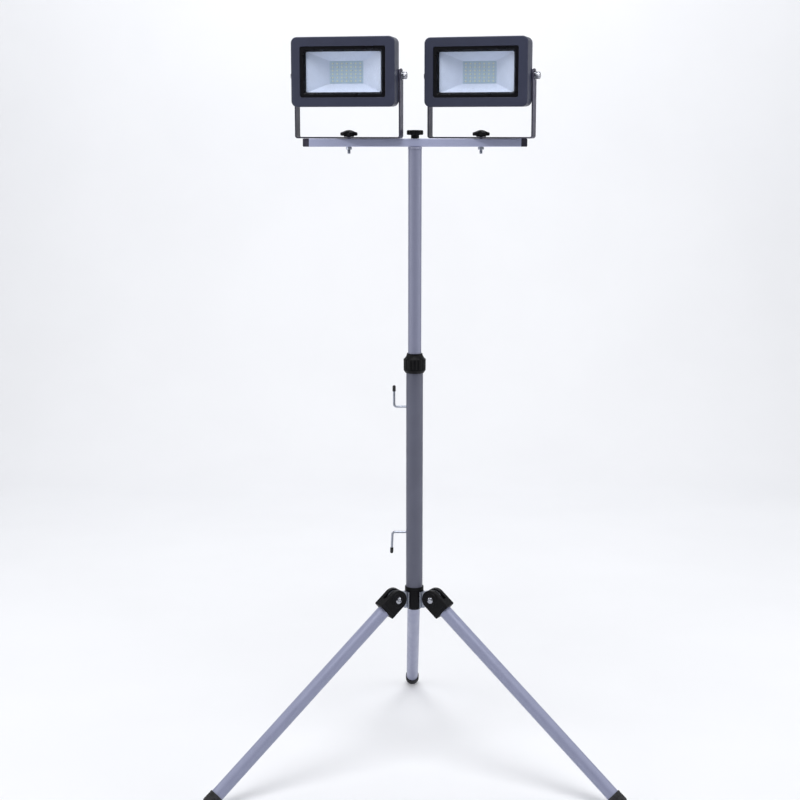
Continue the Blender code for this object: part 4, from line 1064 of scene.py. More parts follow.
def add_hooks(fittings):
    """Two bent wire hooks in the lower mast's wall, with rubber tips."""
    place = mast_place()
    pipe = local_box("lower_mast", place)[1].x
    wire = fittings.hook_wire
    bend = fittings.hook_bend
    lower_reach = 42.5 * MM
    for name, sign in (("upper", 1.0), ("lower", -1.0)):
        low, high = local_box("cable_hook_" + name, place)
        tip_low, tip_high = local_box("hook_tip_" + name, place)
        height = low.z + wire if sign > 0 else high.z - wire
        tip_x = (tip_low.x + tip_high.x) / 2.0
        tip_z = tip_high.z if sign > 0 else tip_low.z
        reach = -low.x - wire if sign > 0 else lower_reach
        points = [Vector((-pipe + MM, 0.0, height))]
        for across, up in arc(bend, 270.0, 180.0, 12, (bend - reach, bend)):
            points.append(Vector((across, 0.0, height + sign * up)))
        end = Vector((tip_x if sign < 0 else -reach, 0.0, tip_z))
        direction = (end - points[-1]).normalized()
        wire_points = points + [end - direction * 4.3 * MM]
        add_piece(
            "hook_wire_" + name, bar_along(wire_points, wire, SMALL_ROUND), "zinc plate", "stand",
            place, ["cable_hook_" + name],
        )
        radius = (tip_high.y - tip_low.y) / 2.0
        length_out = fittings.tip_length
        inner = wire + 0.05 * MM
        profile = [(0.2 * MM, length_out - 4.0 * MM), (inner, length_out - 4.0 * MM), (inner, 0.0)]
        profile += [(radius - 0.5 * MM, 0.0), (radius, 0.6 * MM)]
        profile += arc(radius, 0.0, 84.0, 10, (0.0, length_out - radius))
        cap = turned(profile, SMALL_ROUND)
        turn = direction.to_track_quat("Z", "Y").to_matrix().to_4x4()
        cap = moved(cap, Matrix.Translation(end - direction * length_out) @ turn)
        add_piece(
            "hook_cap_" + name, cap, "black rubber", "stand", place,
            ["hook_tip_" + name],
        )


# ---------------------------------------------------------------- crossbar and knobs

def bar_ring(size, corner, x, middle):
    return [(x, y, middle + z) for y, z in rectangle((size, size), corner)]


def add_crossbar(tubes, fittings):
    """Square tube with end plugs, and the nuts under it."""
    place = mast_place()
    low, high = local_box("crossbar", place)
    size = high.z - low.z
    middle = (high.z + low.z) / 2.0
    inner = size - 2.0 * tubes.bar_wall
    edge = tubes.edge
    rings = [
        bar_ring(size - 2.0 * edge, tubes.bar_corner, low.x, middle),
        bar_ring(size, tubes.bar_corner, low.x + edge, middle),
        bar_ring(size, tubes.bar_corner, high.x - edge, middle),
        bar_ring(size - 2.0 * edge, tubes.bar_corner, high.x, middle),
        bar_ring(inner, tubes.bar_corner / 2.0, high.x, middle),
        bar_ring(inner, tubes.bar_corner / 2.0, low.x, middle),
    ]
    holes = [rod(M8_HOLE, low.z - size, high.z + size)]
    for lamp in LAMPS:
        x = swivel_place(lamp).translation.x
        drill = rod(M6_HOLE, low.z - size, high.z + size)
        holes.append(moved(drill, Matrix.Translation((x, 0.0, 0.0))))
    bar = cut(loft(rings, closed=True), *holes)
    add_piece(
        "crossbar_tube", bar, "bar powder coat", "crossbar", place, ["crossbar"]
    )
    for name, side in (("left", -1.0), ("right", 1.0)):
        node = "crossbar_cap_" + name
        low, high = local_box(node, place)
        outer, inward = (low.x, high.x) if side < 0 else (high.x, low.x)
        spigot = inner - 0.4 * MM
        flange = outer - side * 11.0 * MM
        steps = [
            (spigot - 1.2 * MM, inward),
            (spigot, inward + side * 2.0 * MM),
            (spigot, flange),
            (size - 0.6 * MM, flange),
            (size, flange + side * 0.3 * MM),
            (size, outer - side * 1.6 * MM),
            (size - 0.5 * MM, outer - side * 0.8 * MM),
            (size - 1.4 * MM, outer - side * 0.25 * MM),
            (size - 2.8 * MM, outer),
        ]
        cap = loft([bar_ring(width, 1.2 * MM, x, middle) for width, x in steps])
        add_piece(
            "bar_plug_" + name, cap, "charcoal nylon", "crossbar", place,
            [node],
        )
    nut = nut_mesh(fittings)
    for lamp in LAMPS:
        low, high = local_box(lamp + "_stud_nut", swivel_place(lamp))
        at_nut = swivel_place(lamp) @ Matrix.Translation((0.0, 0.0, low.z))
        add_piece(
            lamp + "_hex_nut", nut, "zinc plate", "crossbar", at_nut,
            [lamp + "_stud_nut"],
        )


def nut_mesh(fittings):
    """Hexagonal nut with both faces chamfered and its thread's mouth countersunk."""
    flats = fittings.nut_flats
    height = 5.0 * MM
    tip = flats / 2.0 / math.cos(math.radians(30.0))
    face = flats * 0.475
    chamfer = (tip - face) * math.tan(math.radians(30.0))
    bore = 3.3 * MM
    rings = [
        hexagon(flats, face, 0.0),
        hexagon(flats, tip, chamfer),
        hexagon(flats, tip, height - chamfer),
        hexagon(flats, face, height),
        circle(bore + 0.5 * MM, height, SMALL_ROUND * 2),
        circle(bore, height - 0.5 * MM, SMALL_ROUND * 2),
        circle(bore, 0.5 * MM, SMALL_ROUND * 2),
        circle(bore + 0.5 * MM, 0.0, SMALL_ROUND * 2),
    ]
    return loft(rings, closed=True)


def stud_mesh(radius, bottom, thread_top, top, pitch):
    """A threaded stud along Z, with a chamfered end and a plain shank above its thread."""
    depth = 0.6 * pitch
    steps = 8
    count = round((thread_top - bottom) / pitch * steps)
    rings = [circle(radius - depth - 0.2 * MM, bottom, SMALL_ROUND)]
    for i in range(1, count + 1):
        height = bottom + i * pitch / steps
        fade = min((height - bottom) / (1.5 * pitch), 1.0, (thread_top - height) / pitch + 0.05)

        def reach(angle, height=height, fade=max(fade, 0.0)):
            phase = (height / pitch - angle / math.tau) % 1.0
            crest = max(0.0, 1.0 - 2.2 * abs(phase - 0.5))
            return radius - depth + depth * min(crest * 1.3, 1.0) * fade

        rings.append(polar_ring(reach, height, SMALL_ROUND))
    rings.append(circle(radius - 0.05 * MM, thread_top + 0.3 * MM, SMALL_ROUND))
    rings.append(circle(radius - 0.05 * MM, top, SMALL_ROUND))
    return loft(rings)


def star(radius, depth, lobes):
    """A reach function for round lobes with softer hollows between them."""

    def reach(angle):
        wave = 0.5 - 0.5 * math.cos(lobes * angle)
        return radius - depth * wave**1.6

    return reach


def knob_mesh(radius, stem, stem_height, head, height, domed, fittings):
    """A moulded star knob that stands on z = 0: stem, lobes and a domed or flat top."""
    lobes = fittings.lobes
    sides = lobes * 24
    depth = fittings.lobe_depth
    rings = [circle(stem - 0.4 * MM, 0.0, sides), circle(stem, 0.4 * MM, sides)]
    rings.append(circle(stem, stem_height - 0.8 * MM, sides))
    rings.append(circle(stem + 0.5 * MM, stem_height - 0.2 * MM, sides))
    for inset, up in ((2.6, 0.0), (1.2, 0.15), (0.35, 0.6), (0.0, 1.4)):
        rings.append(polar_ring(star(radius - inset * MM, depth, lobes), stem_height + up * MM, sides))
    for inset, down in ((0.0, 2.0), (0.35, 1.0), (1.2, 0.3), (2.4, 0.0)):
        rings.append(polar_ring(star(radius - inset * MM, depth, lobes), head - down * MM, sides))
    if domed:
        for share in (0.72, 0.6, 0.45, 0.3, 0.15, 0.03):
            up = math.cos(share / 0.78 * math.pi / 2.0)
            rings.append(circle(radius * share, head + (height - head) * up, sides))
    else:
        for share, up in ((0.6, 0.0), (0.54, 0.2), (0.5, 0.2), (0.05, 0.25)):
            rings.append(circle(radius * share, head + up * MM, sides))
    return loft(rings)


def add_knobs(fittings):
    """The three star knobs, each with its moulded-in threaded stud."""
    low, high = local_box("left_knob", swivel_place("left"))
    underside = 2.8 * MM
    height = high.z - underside
    knob = knob_mesh(16.2 * MM, 9.2 * MM, 2.0 * MM, 8.6 * MM, height, True, fittings)
    moved(knob, Matrix.Translation((0.0, 0.0, underside)))
    stud = stud_mesh(3.0 * MM, low.z, -16.0 * MM, underside + 2.0 * MM, fittings.thread_pitch)
    for lamp in LAMPS:
        place = swivel_place(lamp)
        add_piece(
            lamp + "_star_knob", knob, "black moulded nylon", lamp + "_knob",
            place, [lamp + "_knob"],
        )
        add_piece(
            lamp + "_knob_stud", stud, "zinc plate", lamp + "_knob", place
        )
    place = mast_place()
    low, high = local_box("centre_knob", place)
    bar_top = local_box("crossbar", place)[1].z + GAP
    height = high.z - bar_top
    knob = knob_mesh(15.3 * MM, 7.5 * MM, 6.2 * MM, height - 0.25 * MM, height, False, fittings)
    moved(knob, Matrix.Translation((0.0, 0.0, bar_top)))
    add_piece(
        "centre_star_knob", knob, "black moulded nylon", "centre_knob", place,
        ["centre_knob"],
    )
    pitch = fittings.thread_pitch * 1.25
    stud = stud_mesh(4.0 * MM, low.z, bar_top - 17.0 * MM, bar_top + 2.0 * MM, pitch)
    add_piece("centre_knob_stud", stud, "zinc plate", "centre_knob", place)


# ---------------------------------------------------------------- brackets

def bracket_mesh(low, high, thickness):
    """Bent steel strip: two arms with round ends, a flat base, and three holes."""
    middle = thickness / 2.0
    arm_x = high.x - middle
    base_z = low.z + middle
    radius = 5.0 * MM - middle
    half = high.y
    stations = []
    for angle in (87.0, 82.0, 75.0, 66.0, 56.0, 45.0, 33.0, 21.0, 10.0, 0.0):
        sweep = math.radians(angle)
        stations.append((arm_x, math.sin(sweep) * half, -1.0, 0.0, math.cos(sweep) * half))
    for x, z in arc(radius, 0.0, -90.0, 12):
        centre = (arm_x - radius, base_z + radius)
        stations.append((centre[0] + x, centre[1] + z, -x / radius, -z / radius, half))
    stations += [(-x, z, -nx, nz, w) for x, z, nx, nz, w in reversed(stations)]
    rings = []
    for x, z, nx, nz, width in stations:
        inner = (x + nx * middle, z + nz * middle)
        outer = (x - nx * middle, z - nz * middle)
        rings.append(
            [
                (inner[0], -width, inner[1]),
                (inner[0], width, inner[1]),
                (outer[0], width, outer[1]),
                (outer[0], -width, outer[1]),
            ]
        )
    bolts = rod(M8_HOLE, -2.0 * high.x, 2.0 * high.x, "X")
    stud = rod(M6_HOLE, low.z - thickness, low.z + 2.0 * thickness)
    return softened(cut(loft(rings), bolts, stud), 0.5 * MM, 2, 40.0)


def add_brackets(heads):
    low, high = local_box("left_bracket", head_place("left"))
    mesh = bracket_mesh(low, high, heads.strip)
    for lamp in LAMPS:
        add_piece(
            lamp + "_bracket_strip", mesh, "bracket powder coat", lamp + "_bracket",
            head_place(lamp), [lamp + "_bracket"],
        )


# ---------------------------------------------------------------- lamp heads

def fins_mesh(side, heads, high, rear):
    """A comb of upright cooling fins whose tips are rolled over."""
    root = rear - MM
    crown = rear + MM
    thickness = 2.5 * MM
    pitch = 6.5 * MM
    count = 4
    start = 64.5 * MM - thickness / 2.0
    outline = [(start, root)]
    for i in range(count):
        left = start + i * pitch
        middle = left + thickness / 2.0
        outline += arc(thickness / 2.0, 180.0, 0.0, 8, (middle, high.y - thickness / 2.0))
        if i < count - 1:
            outline += [(left + thickness, crown), (left + pitch, crown)]
    outline.append((outline[-1][0], root))
    half = 49.5 * MM
    shoulder = half - 0.4 * MM
    ends = ((-half, -1.2 * MM), (-shoulder, -0.3 * MM), (shoulder, -0.3 * MM), (half, -1.2 * MM))
    rings = []
    for z, drop in ends:
        rings.append([(side * x, y + (drop if y > crown else 0.0), heads.rise + z) for x, y in outline])
    return loft(rings)


def ear_mesh(side, high, rear):
    """Boss that takes the tilt bolt."""
    radius = 11.0 * MM
    outline = arc(radius, -90.0, 90.0, 30) + [(rear - MM, radius), (rear - MM, -radius)]
    rings = []
    for x, scale in ((78.0 * MM, 1.0), (high.x - 0.6 * MM, 1.0), (high.x, 0.95)):
        rings.append([(side * x, y * scale, z * scale) for y, z in outline])
    return loft(rings)


def housing_mesh(low, high, heads):
    """Die-cast bowl with a stepped front opening, rear fins and two ears."""
    outer = (high.x - low.x, high.z - low.z)
    rear_y = low.y + 40.0 * MM
    draft = 1.4 * MM
    rear = (outer[0] - draft, outer[1] - draft)
    opening = (heads.opening_width, heads.opening_height)
    bowl = (opening[0] - 10.0 * MM, opening[1] - 10.0 * MM)
    ledge = low.y + 13.0 * MM
    floor = low.y + 31.1 * MM
    rise = heads.rise
    rings = edge_windows(rear, heads.corner, rear_y, 4.0 * MM, -1.0, rise, steps=8)[::-1]
    rings += edge_windows(outer, heads.corner, low.y, 2.4 * MM, 1.0, rise, steps=8)
    rings += edge_windows(opening, 4.0 * MM, low.y, 0.8 * MM, 1.0, rise, False)[::-1]
    rings += [
        window(opening, 4.0 * MM, ledge, rise),
        window(bowl, 4.0 * MM, ledge, rise),
        window(bowl, 4.0 * MM, floor, rise),
    ]
    extras = []
    for side in (-1.0, 1.0):
        extras.append(fins_mesh(side, heads, high, rear_y))
        extras.append(ear_mesh(side, high, rear_y))
    body = joined(loft(rings), *extras)
    holes = []
    for side in (-1.0, 1.0):
        holes.append(rod(M8_HOLE, side * (high.x + 0.05), side * (high.x - 16.0 * MM), "X"))
    for x, z in cover_screws(heads):
        drill = rod(SCREW_HOLE, rear_y - 4.0 * MM, 20.0 * MM, "Y")
        holes.append(moved(drill, Matrix.Translation((x, 0.0, z))))
    wires = rod(4.0 * MM, floor - 5.0 * MM, 20.0 * MM, "Y")
    holes.append(moved(wires, Matrix.Translation((0.0, 0.0, rise - 30.0 * MM))))
    return cut(body, *holes)


def bezel_mesh(heads, low, high):
    """Black ring that slopes in to the window."""
    outer = (high.x - low.x, high.z - low.z)
    rear = (heads.window_width, heads.window_height)
    front = (rear[0] + 6.5 * MM, rear[1] + 7.0 * MM)
    rise = heads.rise
    rings = [window(outer, 4.0 * MM, high.y, rise)]
    rings += edge_windows(outer, 4.0 * MM, low.y, 0.5 * MM, 1.0, rise)
    rings += edge_windows(front, 3.0 * MM, low.y, 0.6 * MM, 1.0, rise, False)[::-1]
    rings += [
        window(rear, 3.0 * MM, high.y - 0.5 * MM, rise),
        window((rear[0] + 0.2 * MM, rear[1] + 0.2 * MM), 3.0 * MM, high.y, rise),
    ]
    return loft(rings, closed=True)


def glass_mesh(low, high, heads):
    """Flat pane with ground edges."""
    size = (high.x - low.x, high.z - low.z)
    rings = edge_windows(size, 4.0 * MM, low.y, 0.4 * MM, 1.0, heads.rise, steps=2)[::-1]
    rings += edge_windows(size, 4.0 * MM, high.y, 0.4 * MM, -1.0, heads.rise, steps=2)
    return loft(rings)


def reflector_mesh(low, high, heads):
    """Pressed funnel from the window to the board, with a flat rim and rolled folds."""
    wall = 0.8 * MM
    rim = (high.x - low.x, high.z - low.z)
    mouth = (rim[0] - 6.8 * MM, rim[1] - 5.8 * MM)
    throat = (heads.throat_width, heads.throat_height)
    rise = heads.rise

    def between(share, depth, grow):
        size = [m + (t - m) * share + 2.0 * grow for m, t in zip(mouth, throat)]
        return window(size, (2.0 - 1.2 * share) * MM, depth, rise)

    inner = [between(i / 4.0, low.y + (high.y - low.y) * i / 4.0, 0.0) for i in range(5)]
    outer = [
        between(i / 4.0, low.y + wall + (high.y - low.y - wall) * i / 4.0, wall)
        for i in range(5)
    ]
    rings = [window(rim, 3.0 * MM, low.y, rise)] + inner + outer[::-1]
    rings.append(window(rim, 3.0 * MM, low.y + wall, rise))
    return loft(rings, closed=True)


def led_places(heads, depth):
    """Where each LED sits on the board."""
    places = []
    for column in range(heads.led_columns):
        for row in range(heads.led_rows):
            x = (column - (heads.led_columns - 1) / 2.0) * heads.led_pitch_x
            z = (row - (heads.led_rows - 1) / 2.0) * heads.led_pitch_z + heads.rise
            places.append(Matrix.Translation((x, depth, z)))
    return places


def led_body_mesh():
    """Resin body of one LED, with a shallow cup in its face."""
    rings = [
        window((3.5 * MM, 2.8 * MM), 0.2 * MM, 0.0),
        window((3.5 * MM, 2.8 * MM), 0.2 * MM, -0.65 * MM),
        window((3.3 * MM, 2.6 * MM), 0.2 * MM, -0.8 * MM),
        window((2.7 * MM, 2.1 * MM), 0.5 * MM, -0.8 * MM),
        window((2.5 * MM, 1.9 * MM), 0.5 * MM, -0.55 * MM),
    ]
    return loft(rings)


def led_dome_mesh():
    """Phosphor filling in the cup of one LED, slightly domed."""
    rings = [
        window((2.48 * MM, 1.88 * MM), 0.5 * MM, -0.57 * MM),
        window((2.62 * MM, 2.02 * MM), 0.5 * MM, -0.74 * MM),
        window((2.0 * MM, 1.4 * MM), 0.5 * MM, -0.82 * MM),
        window((0.9 * MM, 0.5 * MM), 0.2 * MM, -0.86 * MM),
    ]
    return loft(rings)


def solder_pads_mesh():
    """The two tinned pads that one LED stands on, as one shallow strip each side."""
    pads = []
    for side in (-1.0, 1.0):
        outline = rectangle((0.9 * MM, 2.4 * MM), 0.25 * MM, 4)
        pad = loft([[(x, y, z) for x, z in outline] for y in (0.02 * MM, -0.12 * MM)])
        pads.append(moved(pad, Matrix.Translation((side * 2.05 * MM, 0.0, 0.0))))
    return joined(*pads)


def add_housings(heads):
    """Housing, bezel, glass and gasket of each lamp."""
    place = head_place("left")
    box = {piece: local_box("left_" + piece, place) for piece in ("housing", "bezel", "glass")}
    housing = housing_mesh(*box["housing"], heads)
    bezel = bezel_mesh(heads, *box["bezel"])
    glass = glass_mesh(*box["glass"], heads)
    for lamp in LAMPS:
        place = head_place(lamp)
        body = lamp + "_head"
        add_piece(
            lamp + "_housing_casting", housing, "anthracite powder coat", body,
            place, [lamp + "_housing"],
        )
        add_piece(
            lamp + "_bezel_ring", bezel, "black ABS", body, place,
            [lamp + "_bezel"],
        )
        add_piece(
            lamp + "_glass_pane", glass, "toughened glass", body, place,
            [lamp + "_glass"],
        )
        refinish(lamp + "_gasket", "grey silicone")


def add_optics(heads):
    """Reflector, LED board and LEDs of each lamp."""
    place = head_place("left")
    reflector = reflector_mesh(*local_box("left_reflector", place), heads)
    low, high = local_box("left_led_board", place)
    face = low.y + 0.8 * MM
    size = (high.x - low.x, high.z - low.z)
    rings = edge_windows(size, 2.0 * MM, face, 0.2 * MM, 1.0, heads.rise, steps=2)[::-1]
    rings += [window(size, 2.0 * MM, high.y, heads.rise)]
    board = loft(rings)
    places = led_places(heads, face)
    bodies = repeated(led_body_mesh(), places)
    domes = repeated(led_dome_mesh(), places)
    pads = repeated(solder_pads_mesh(), places)
    for lamp in LAMPS:
        place = head_place(lamp)
        body = lamp + "_head"
        add_piece(
            lamp + "_reflector_funnel", reflector, "white-coated aluminium", body,
            place, [lamp + "_reflector"], 20.0,
        )
        add_piece(
            lamp + "_board_plate", board, "white solder mask", body, place,
            [lamp + "_led_board"],
        )
        add_piece(lamp + "_led_bodies", bodies, "white LED resin", body, place)
        add_piece(lamp + "_led_domes", domes, "LED phosphor", body, place)
        add_piece(lamp + "_solder_pads", pads, "zinc plate", body, place)


# ---------------------------------------------------------------- rear covers

def cover_screws(heads):
    """The four cover screws, in the XZ plane."""
    across = heads.screw_across / 2.0
    up = heads.screw_up / 2.0
    return [(x, heads.rise + z) for x in (-across, across) for z in (-up, up)]


def cover_mesh(low, high, heads):
    """Rear cover: an open cast box with a screw flange and the gland's hole."""
    rise = heads.rise
    flange = (high.x - low.x, high.z - low.z)
    size = (100.0 * MM, 72.0 * MM)
    wall = 2.5 * MM
    inner = (size[0] - 2.0 * wall, size[1] - 2.0 * wall)
    rings = [
        window(inner, 4.0 * MM, high.y - wall, rise),
        window(inner, 4.0 * MM, low.y, rise),
        window(flange, 7.0 * MM, low.y, rise),
    ]
    rings += edge_windows(flange, 7.0 * MM, low.y + wall, 0.8 * MM, -1.0, rise)
    rings.append(window(size, 6.0 * MM, low.y + wall, rise))
    rings += edge_windows(size, 6.0 * MM, high.y, 2.4 * MM, -1.0, rise, steps=8)
    tools = []
    for x, z in cover_screws(heads):
        tools.append(moved(rod(SCREW_HOLE, -0.02, 0.02, "Y"), Matrix.Translation((x, 0.0, z))))
    bottom = rise - size[1] / 2.0
    gland_hole = rod(6.3 * MM, bottom - 0.01, bottom + 6.0 * MM)
    tools.append(moved(gland_hole, Matrix.Translation((0.0, 9.0 * MM, 0.0))))
    for i in range(5):
        x = (i - 2) * 15.0 * MM
        outline = rectangle((5.0 * MM, 46.0 * MM), 2.4 * MM, 6)
        groove = loft(
            [
                [(x + gx, y, rise + gz) for gx, gz in outline]
                for y in (high.y - 0.8 * MM, high.y + MM)
            ]
        )
        tools.append(groove)
    return cut(loft(rings), *tools)


def screw_mesh():
    """Pan-head screw along -Y with a cross recess, its seat at y = 0."""
    radius = 3.4 * MM
    head = [(radius * math.cos(a), 2.2 * MM * math.sin(a)) for a in (
        math.radians(9.0 * i) for i in range(10)
    )]
    profile = [(1.2 * MM, -6.0 * MM), (1.8 * MM, -5.4 * MM), (1.8 * MM, 0.0)]
    profile += [(radius, 0.0)] + [(r, 0.2 * MM + h) for r, h in head if r > 0.1 * MM]
    solid = turned(profile, SMALL_ROUND)
    arms = [
        block((-1.9 * MM, -0.45 * MM, 1.0 * MM), (1.9 * MM, 0.45 * MM, 4.0 * MM)),
        block((-0.45 * MM, -1.9 * MM, 1.0 * MM), (0.45 * MM, 1.9 * MM, 4.0 * MM)),
    ]
    return moved(cut(solid, *arms), Matrix.Rotation(math.radians(-90.0), 4, "X"))


def gland_mesh(low, high):
    """Cable gland: a hexagonal base and a ribbed dome nut round its closed seal."""
    seat = high.z - 6.0 * MM
    sides = SMALL_ROUND * 2
    tip = 8.5 * MM
    flats = 2.0 * tip * math.cos(math.radians(30.0))
    rings = [
        circle(5.6 * MM, high.z, sides),
        circle(6.0 * MM, high.z - 0.4 * MM, sides),
        circle(6.0 * MM, seat, sides),
        hexagon(flats, tip - 0.6 * MM, seat),
        hexagon(flats, tip, seat - 0.5 * MM),
        hexagon(flats, tip, seat - 2.5 * MM),
        hexagon(flats, tip - 0.6 * MM, seat - 3.0 * MM),
        circle(7.2 * MM, seat - 3.2 * MM, sides),
        circle(7.2 * MM, seat - 4.4 * MM, sides),
    ]
    for down, radius in ((4.6, 7.6), (5.2, 8.2), (11.0, 8.2), (12.2, 7.8)):
        rings.append(polar_ring(ribbed(radius * MM, 0.6 * MM, 12), seat - down * MM, sides))
    for down, radius in ((13.6, 7.1), (15.0, 6.2), (16.2, 5.0), (16.9, 4.2), (17.0, 3.6), (15.6, 3.2)):
        rings.append(circle(radius * MM, seat - down * MM, sides))
    return moved(loft(rings), Matrix.Translation((0.0, (low.y + high.y) / 2.0, 0.0)))


def add_rear(heads):
    """Rear cover, its screws, the cable gland and the driver of each lamp."""
    place = head_place("left")
    low, high = local_box("left_driver_cover", place)
    cover = cover_mesh(low, high, heads)
    screw = screw_mesh()
    gland = gland_mesh(*local_box("left_cable_gland", place))
    flange = low.y + 2.5 * MM
    for lamp in LAMPS:
        place = head_place(lamp)
        body = lamp + "_head"
        add_piece(
            lamp + "_rear_cover", cover, "anthracite powder coat", body, place,
            [lamp + "_driver_cover"],
        )
        add_piece(
            lamp + "_gland_nut", gland, "black moulded nylon", body, place,
            [lamp + "_cable_gland"],
        )
        for i, (x, z) in enumerate(cover_screws(heads)):
            at_screw = place @ Matrix.Translation((x, flange, z))
            name = "%s_cover_screw_%d" % (lamp, i + 1)
            add_piece(name, screw, "bright steel", body, at_screw)
        refinish(lamp + "_driver", "black moulded nylon")


# ---------------------------------------------------------------- tilt bolts

def bolt_mesh(arm, end, flats):
    """Hex bolt along Z: chamfered head, plain shank and rounded end."""
    tip = flats / 2.0 / math.cos(math.radians(30.0))
    face = flats * 0.465
    seat = arm + 3.6 * MM
    top = arm + 9.1 * MM
    sides = SMALL_ROUND * 2
    rings = [
        circle(3.2 * MM, end, sides),
        circle(4.0 * MM, end + 0.8 * MM, sides),
        circle(4.0 * MM, seat, sides),
        circle(flats * 0.46, seat, sides),
        circle(flats * 0.46, seat + 0.4 * MM, sides),
        hexagon(flats, tip, seat + 0.4 * MM),
        hexagon(flats, tip, top - (tip - face) * 0.58),
        hexagon(flats, face, top - 0.05 * MM),
        circle(flats * 0.42, top, sides),
        circle(flats * 0.36, top - 0.35 * MM, sides),
    ]
    return loft(rings)


def washer_mesh(arm):
    """Flat washer with rolled edges."""
    outline = [(4.2 * MM, arm), (8.5 * MM, arm), (8.5 * MM, arm + 1.6 * MM), (4.2 * MM, arm + 1.6 * MM)]
    return ring_solid(outline, 0.35 * MM, SMALL_ROUND * 2)


def spring_washer_mesh(arm):
    """Split spring washer, pressed nearly flat."""
    start = arm + 1.6 * MM
    section = rounded_profile(
        [(4.3 * MM, 0.0), (6.8 * MM, 0.0), (6.8 * MM, 1.8 * MM), (4.3 * MM, 1.8 * MM)], 0.3 * MM, 2
    )
    rings = []
    steps = 72
    for i in range(steps + 1):
        angle = math.radians(6.0 + 348.0 * i / steps)
        lift = start + 0.2 * MM * i / steps
        rings.append([(r * math.cos(angle), r * math.sin(angle), lift + z) for r, z in section])
    return loft(rings)


def add_bolts(fittings):
    """Tilt bolts with their flat and spring washers."""
    place = head_place("left")
    arm = local_box("left_bracket", place)[1].x + GAP
    low = local_box("left_tilt_bolt_right", place)[0]
    pieces = (
        ("bolt", bolt_mesh(arm, low.x, fittings.bolt_flats)),
        ("washer", washer_mesh(arm)),
        ("spring_washer", spring_washer_mesh(arm)),
    )
    for lamp in LAMPS:
        for side, turn in (("left", -90.0), ("right", 90.0)):
            place = head_place(lamp) @ Matrix.Rotation(math.radians(turn), 4, "Y")
            for name, mesh in pieces:
                node = "%s_tilt_bolt_%s" % (lamp, side)
                replaced = [node] if name == "bolt" else []
                add_piece(
                    "%s_%s_%s" % (lamp, name, side), mesh, "bright steel", lamp + "_head",
                    place, replaced,
                )


# ---------------------------------------------------------------- studio

def add_floor():
    """Seamless paper: a floor that curves up into a backdrop."""
    width = 8.0
    radius = 1.2
    wall = 3.4
    outline = [(-5.0, 0.0), (wall - radius, 0.0)]
    outline += arc(radius, -90.0, 0.0, 24, (wall - radius, radius))[1:]
    outline.append((wall, 5.0))
    builder = bmesh.new()
    rows = [[builder.verts.new((x, y, z)) for y, z in outline] for x in (-width / 2.0, width / 2.0)]
    for i in range(len(outline) - 1):
        builder.faces.new((rows[0][i], rows[1][i], rows[1][i + 1], rows[0][i + 1]))
    mesh = bpy.data.meshes.new("paper")
    builder.to_mesh(mesh)
    builder.free()
    mesh.shade_smooth()
    mesh.materials.append(bpy.data.materials["studio paper"])
    paper = bpy.data.objects.new("studio_paper", mesh)
    bpy.context.scene.collection.objects.link(paper)


def add_light(name, place, target, size, power):
    """A large soft light that faces a point."""
    light = bpy.data.lights.new(name, "AREA")
    light.shape = "RECTANGLE"
    light.size, light.size_y = size
    light.energy = power
    obj = bpy.data.objects.new(name, light)
    bpy.context.scene.collection.objects.link(obj)
    obj.location = place
    direction = Vector(target) - Vector(place)
    obj.rotation_euler = direction.to_track_quat("-Z", "Y").to_euler()
    return obj


def add_lights(studio):
    """A soft light at each front corner and each side, one overhead, and an even room light."""
    middle = (0.0, -0.1, 1.0)
    for name, side in (("left", -1.0), ("right", 1.0)):
        corner = (side * 1.85, -1.95, 1.4)
        add_light(name + "_front_softbox", corner, middle, (0.9, 2.2), studio.key)
        flank = (side * 2.6, -0.3, 1.4)
        add_light(name + "_side_softbox", flank, middle, (1.6, 2.2), studio.side)
    add_light("top_softbox", (0.0, -1.6, 4.4), middle, (2.6, 2.2), studio.top)
    add_light("backdrop_light", (0.0, 1.3, 3.2), (0.0, 3.4, 1.3), (4.0, 0.8), studio.backdrop)
    world = bpy.data.worlds.new("room light")
    world.use_nodes = True
    background = world.node_tree.nodes["Background"]
    background.inputs["Color"].default_value = (*linear("F6F8FF"), 1.0)
    background.inputs["Strength"].default_value = studio.sky
    bpy.context.scene.world = world


def add_camera(studio):
    """The camera in front of the lamp, a little above its middle, looking slightly down."""
    mast = mast_place().translation
    camera = bpy.data.cameras.new("camera")
    camera.sensor_width = 36.0
    camera.lens = studio.lens
    obj = bpy.data.objects.new("camera", camera)
    bpy.context.scene.collection.objects.link(obj)
    obj.location = (-studio.camera_aside, mast.y - studio.camera_distance, studio.camera_height)
    obj.rotation_euler = (math.pi / 2.0 - studio.camera_pitch, 0.0, 0.0)
    bpy.context.scene.camera = obj


# ---------------------------------------------------------------- operators

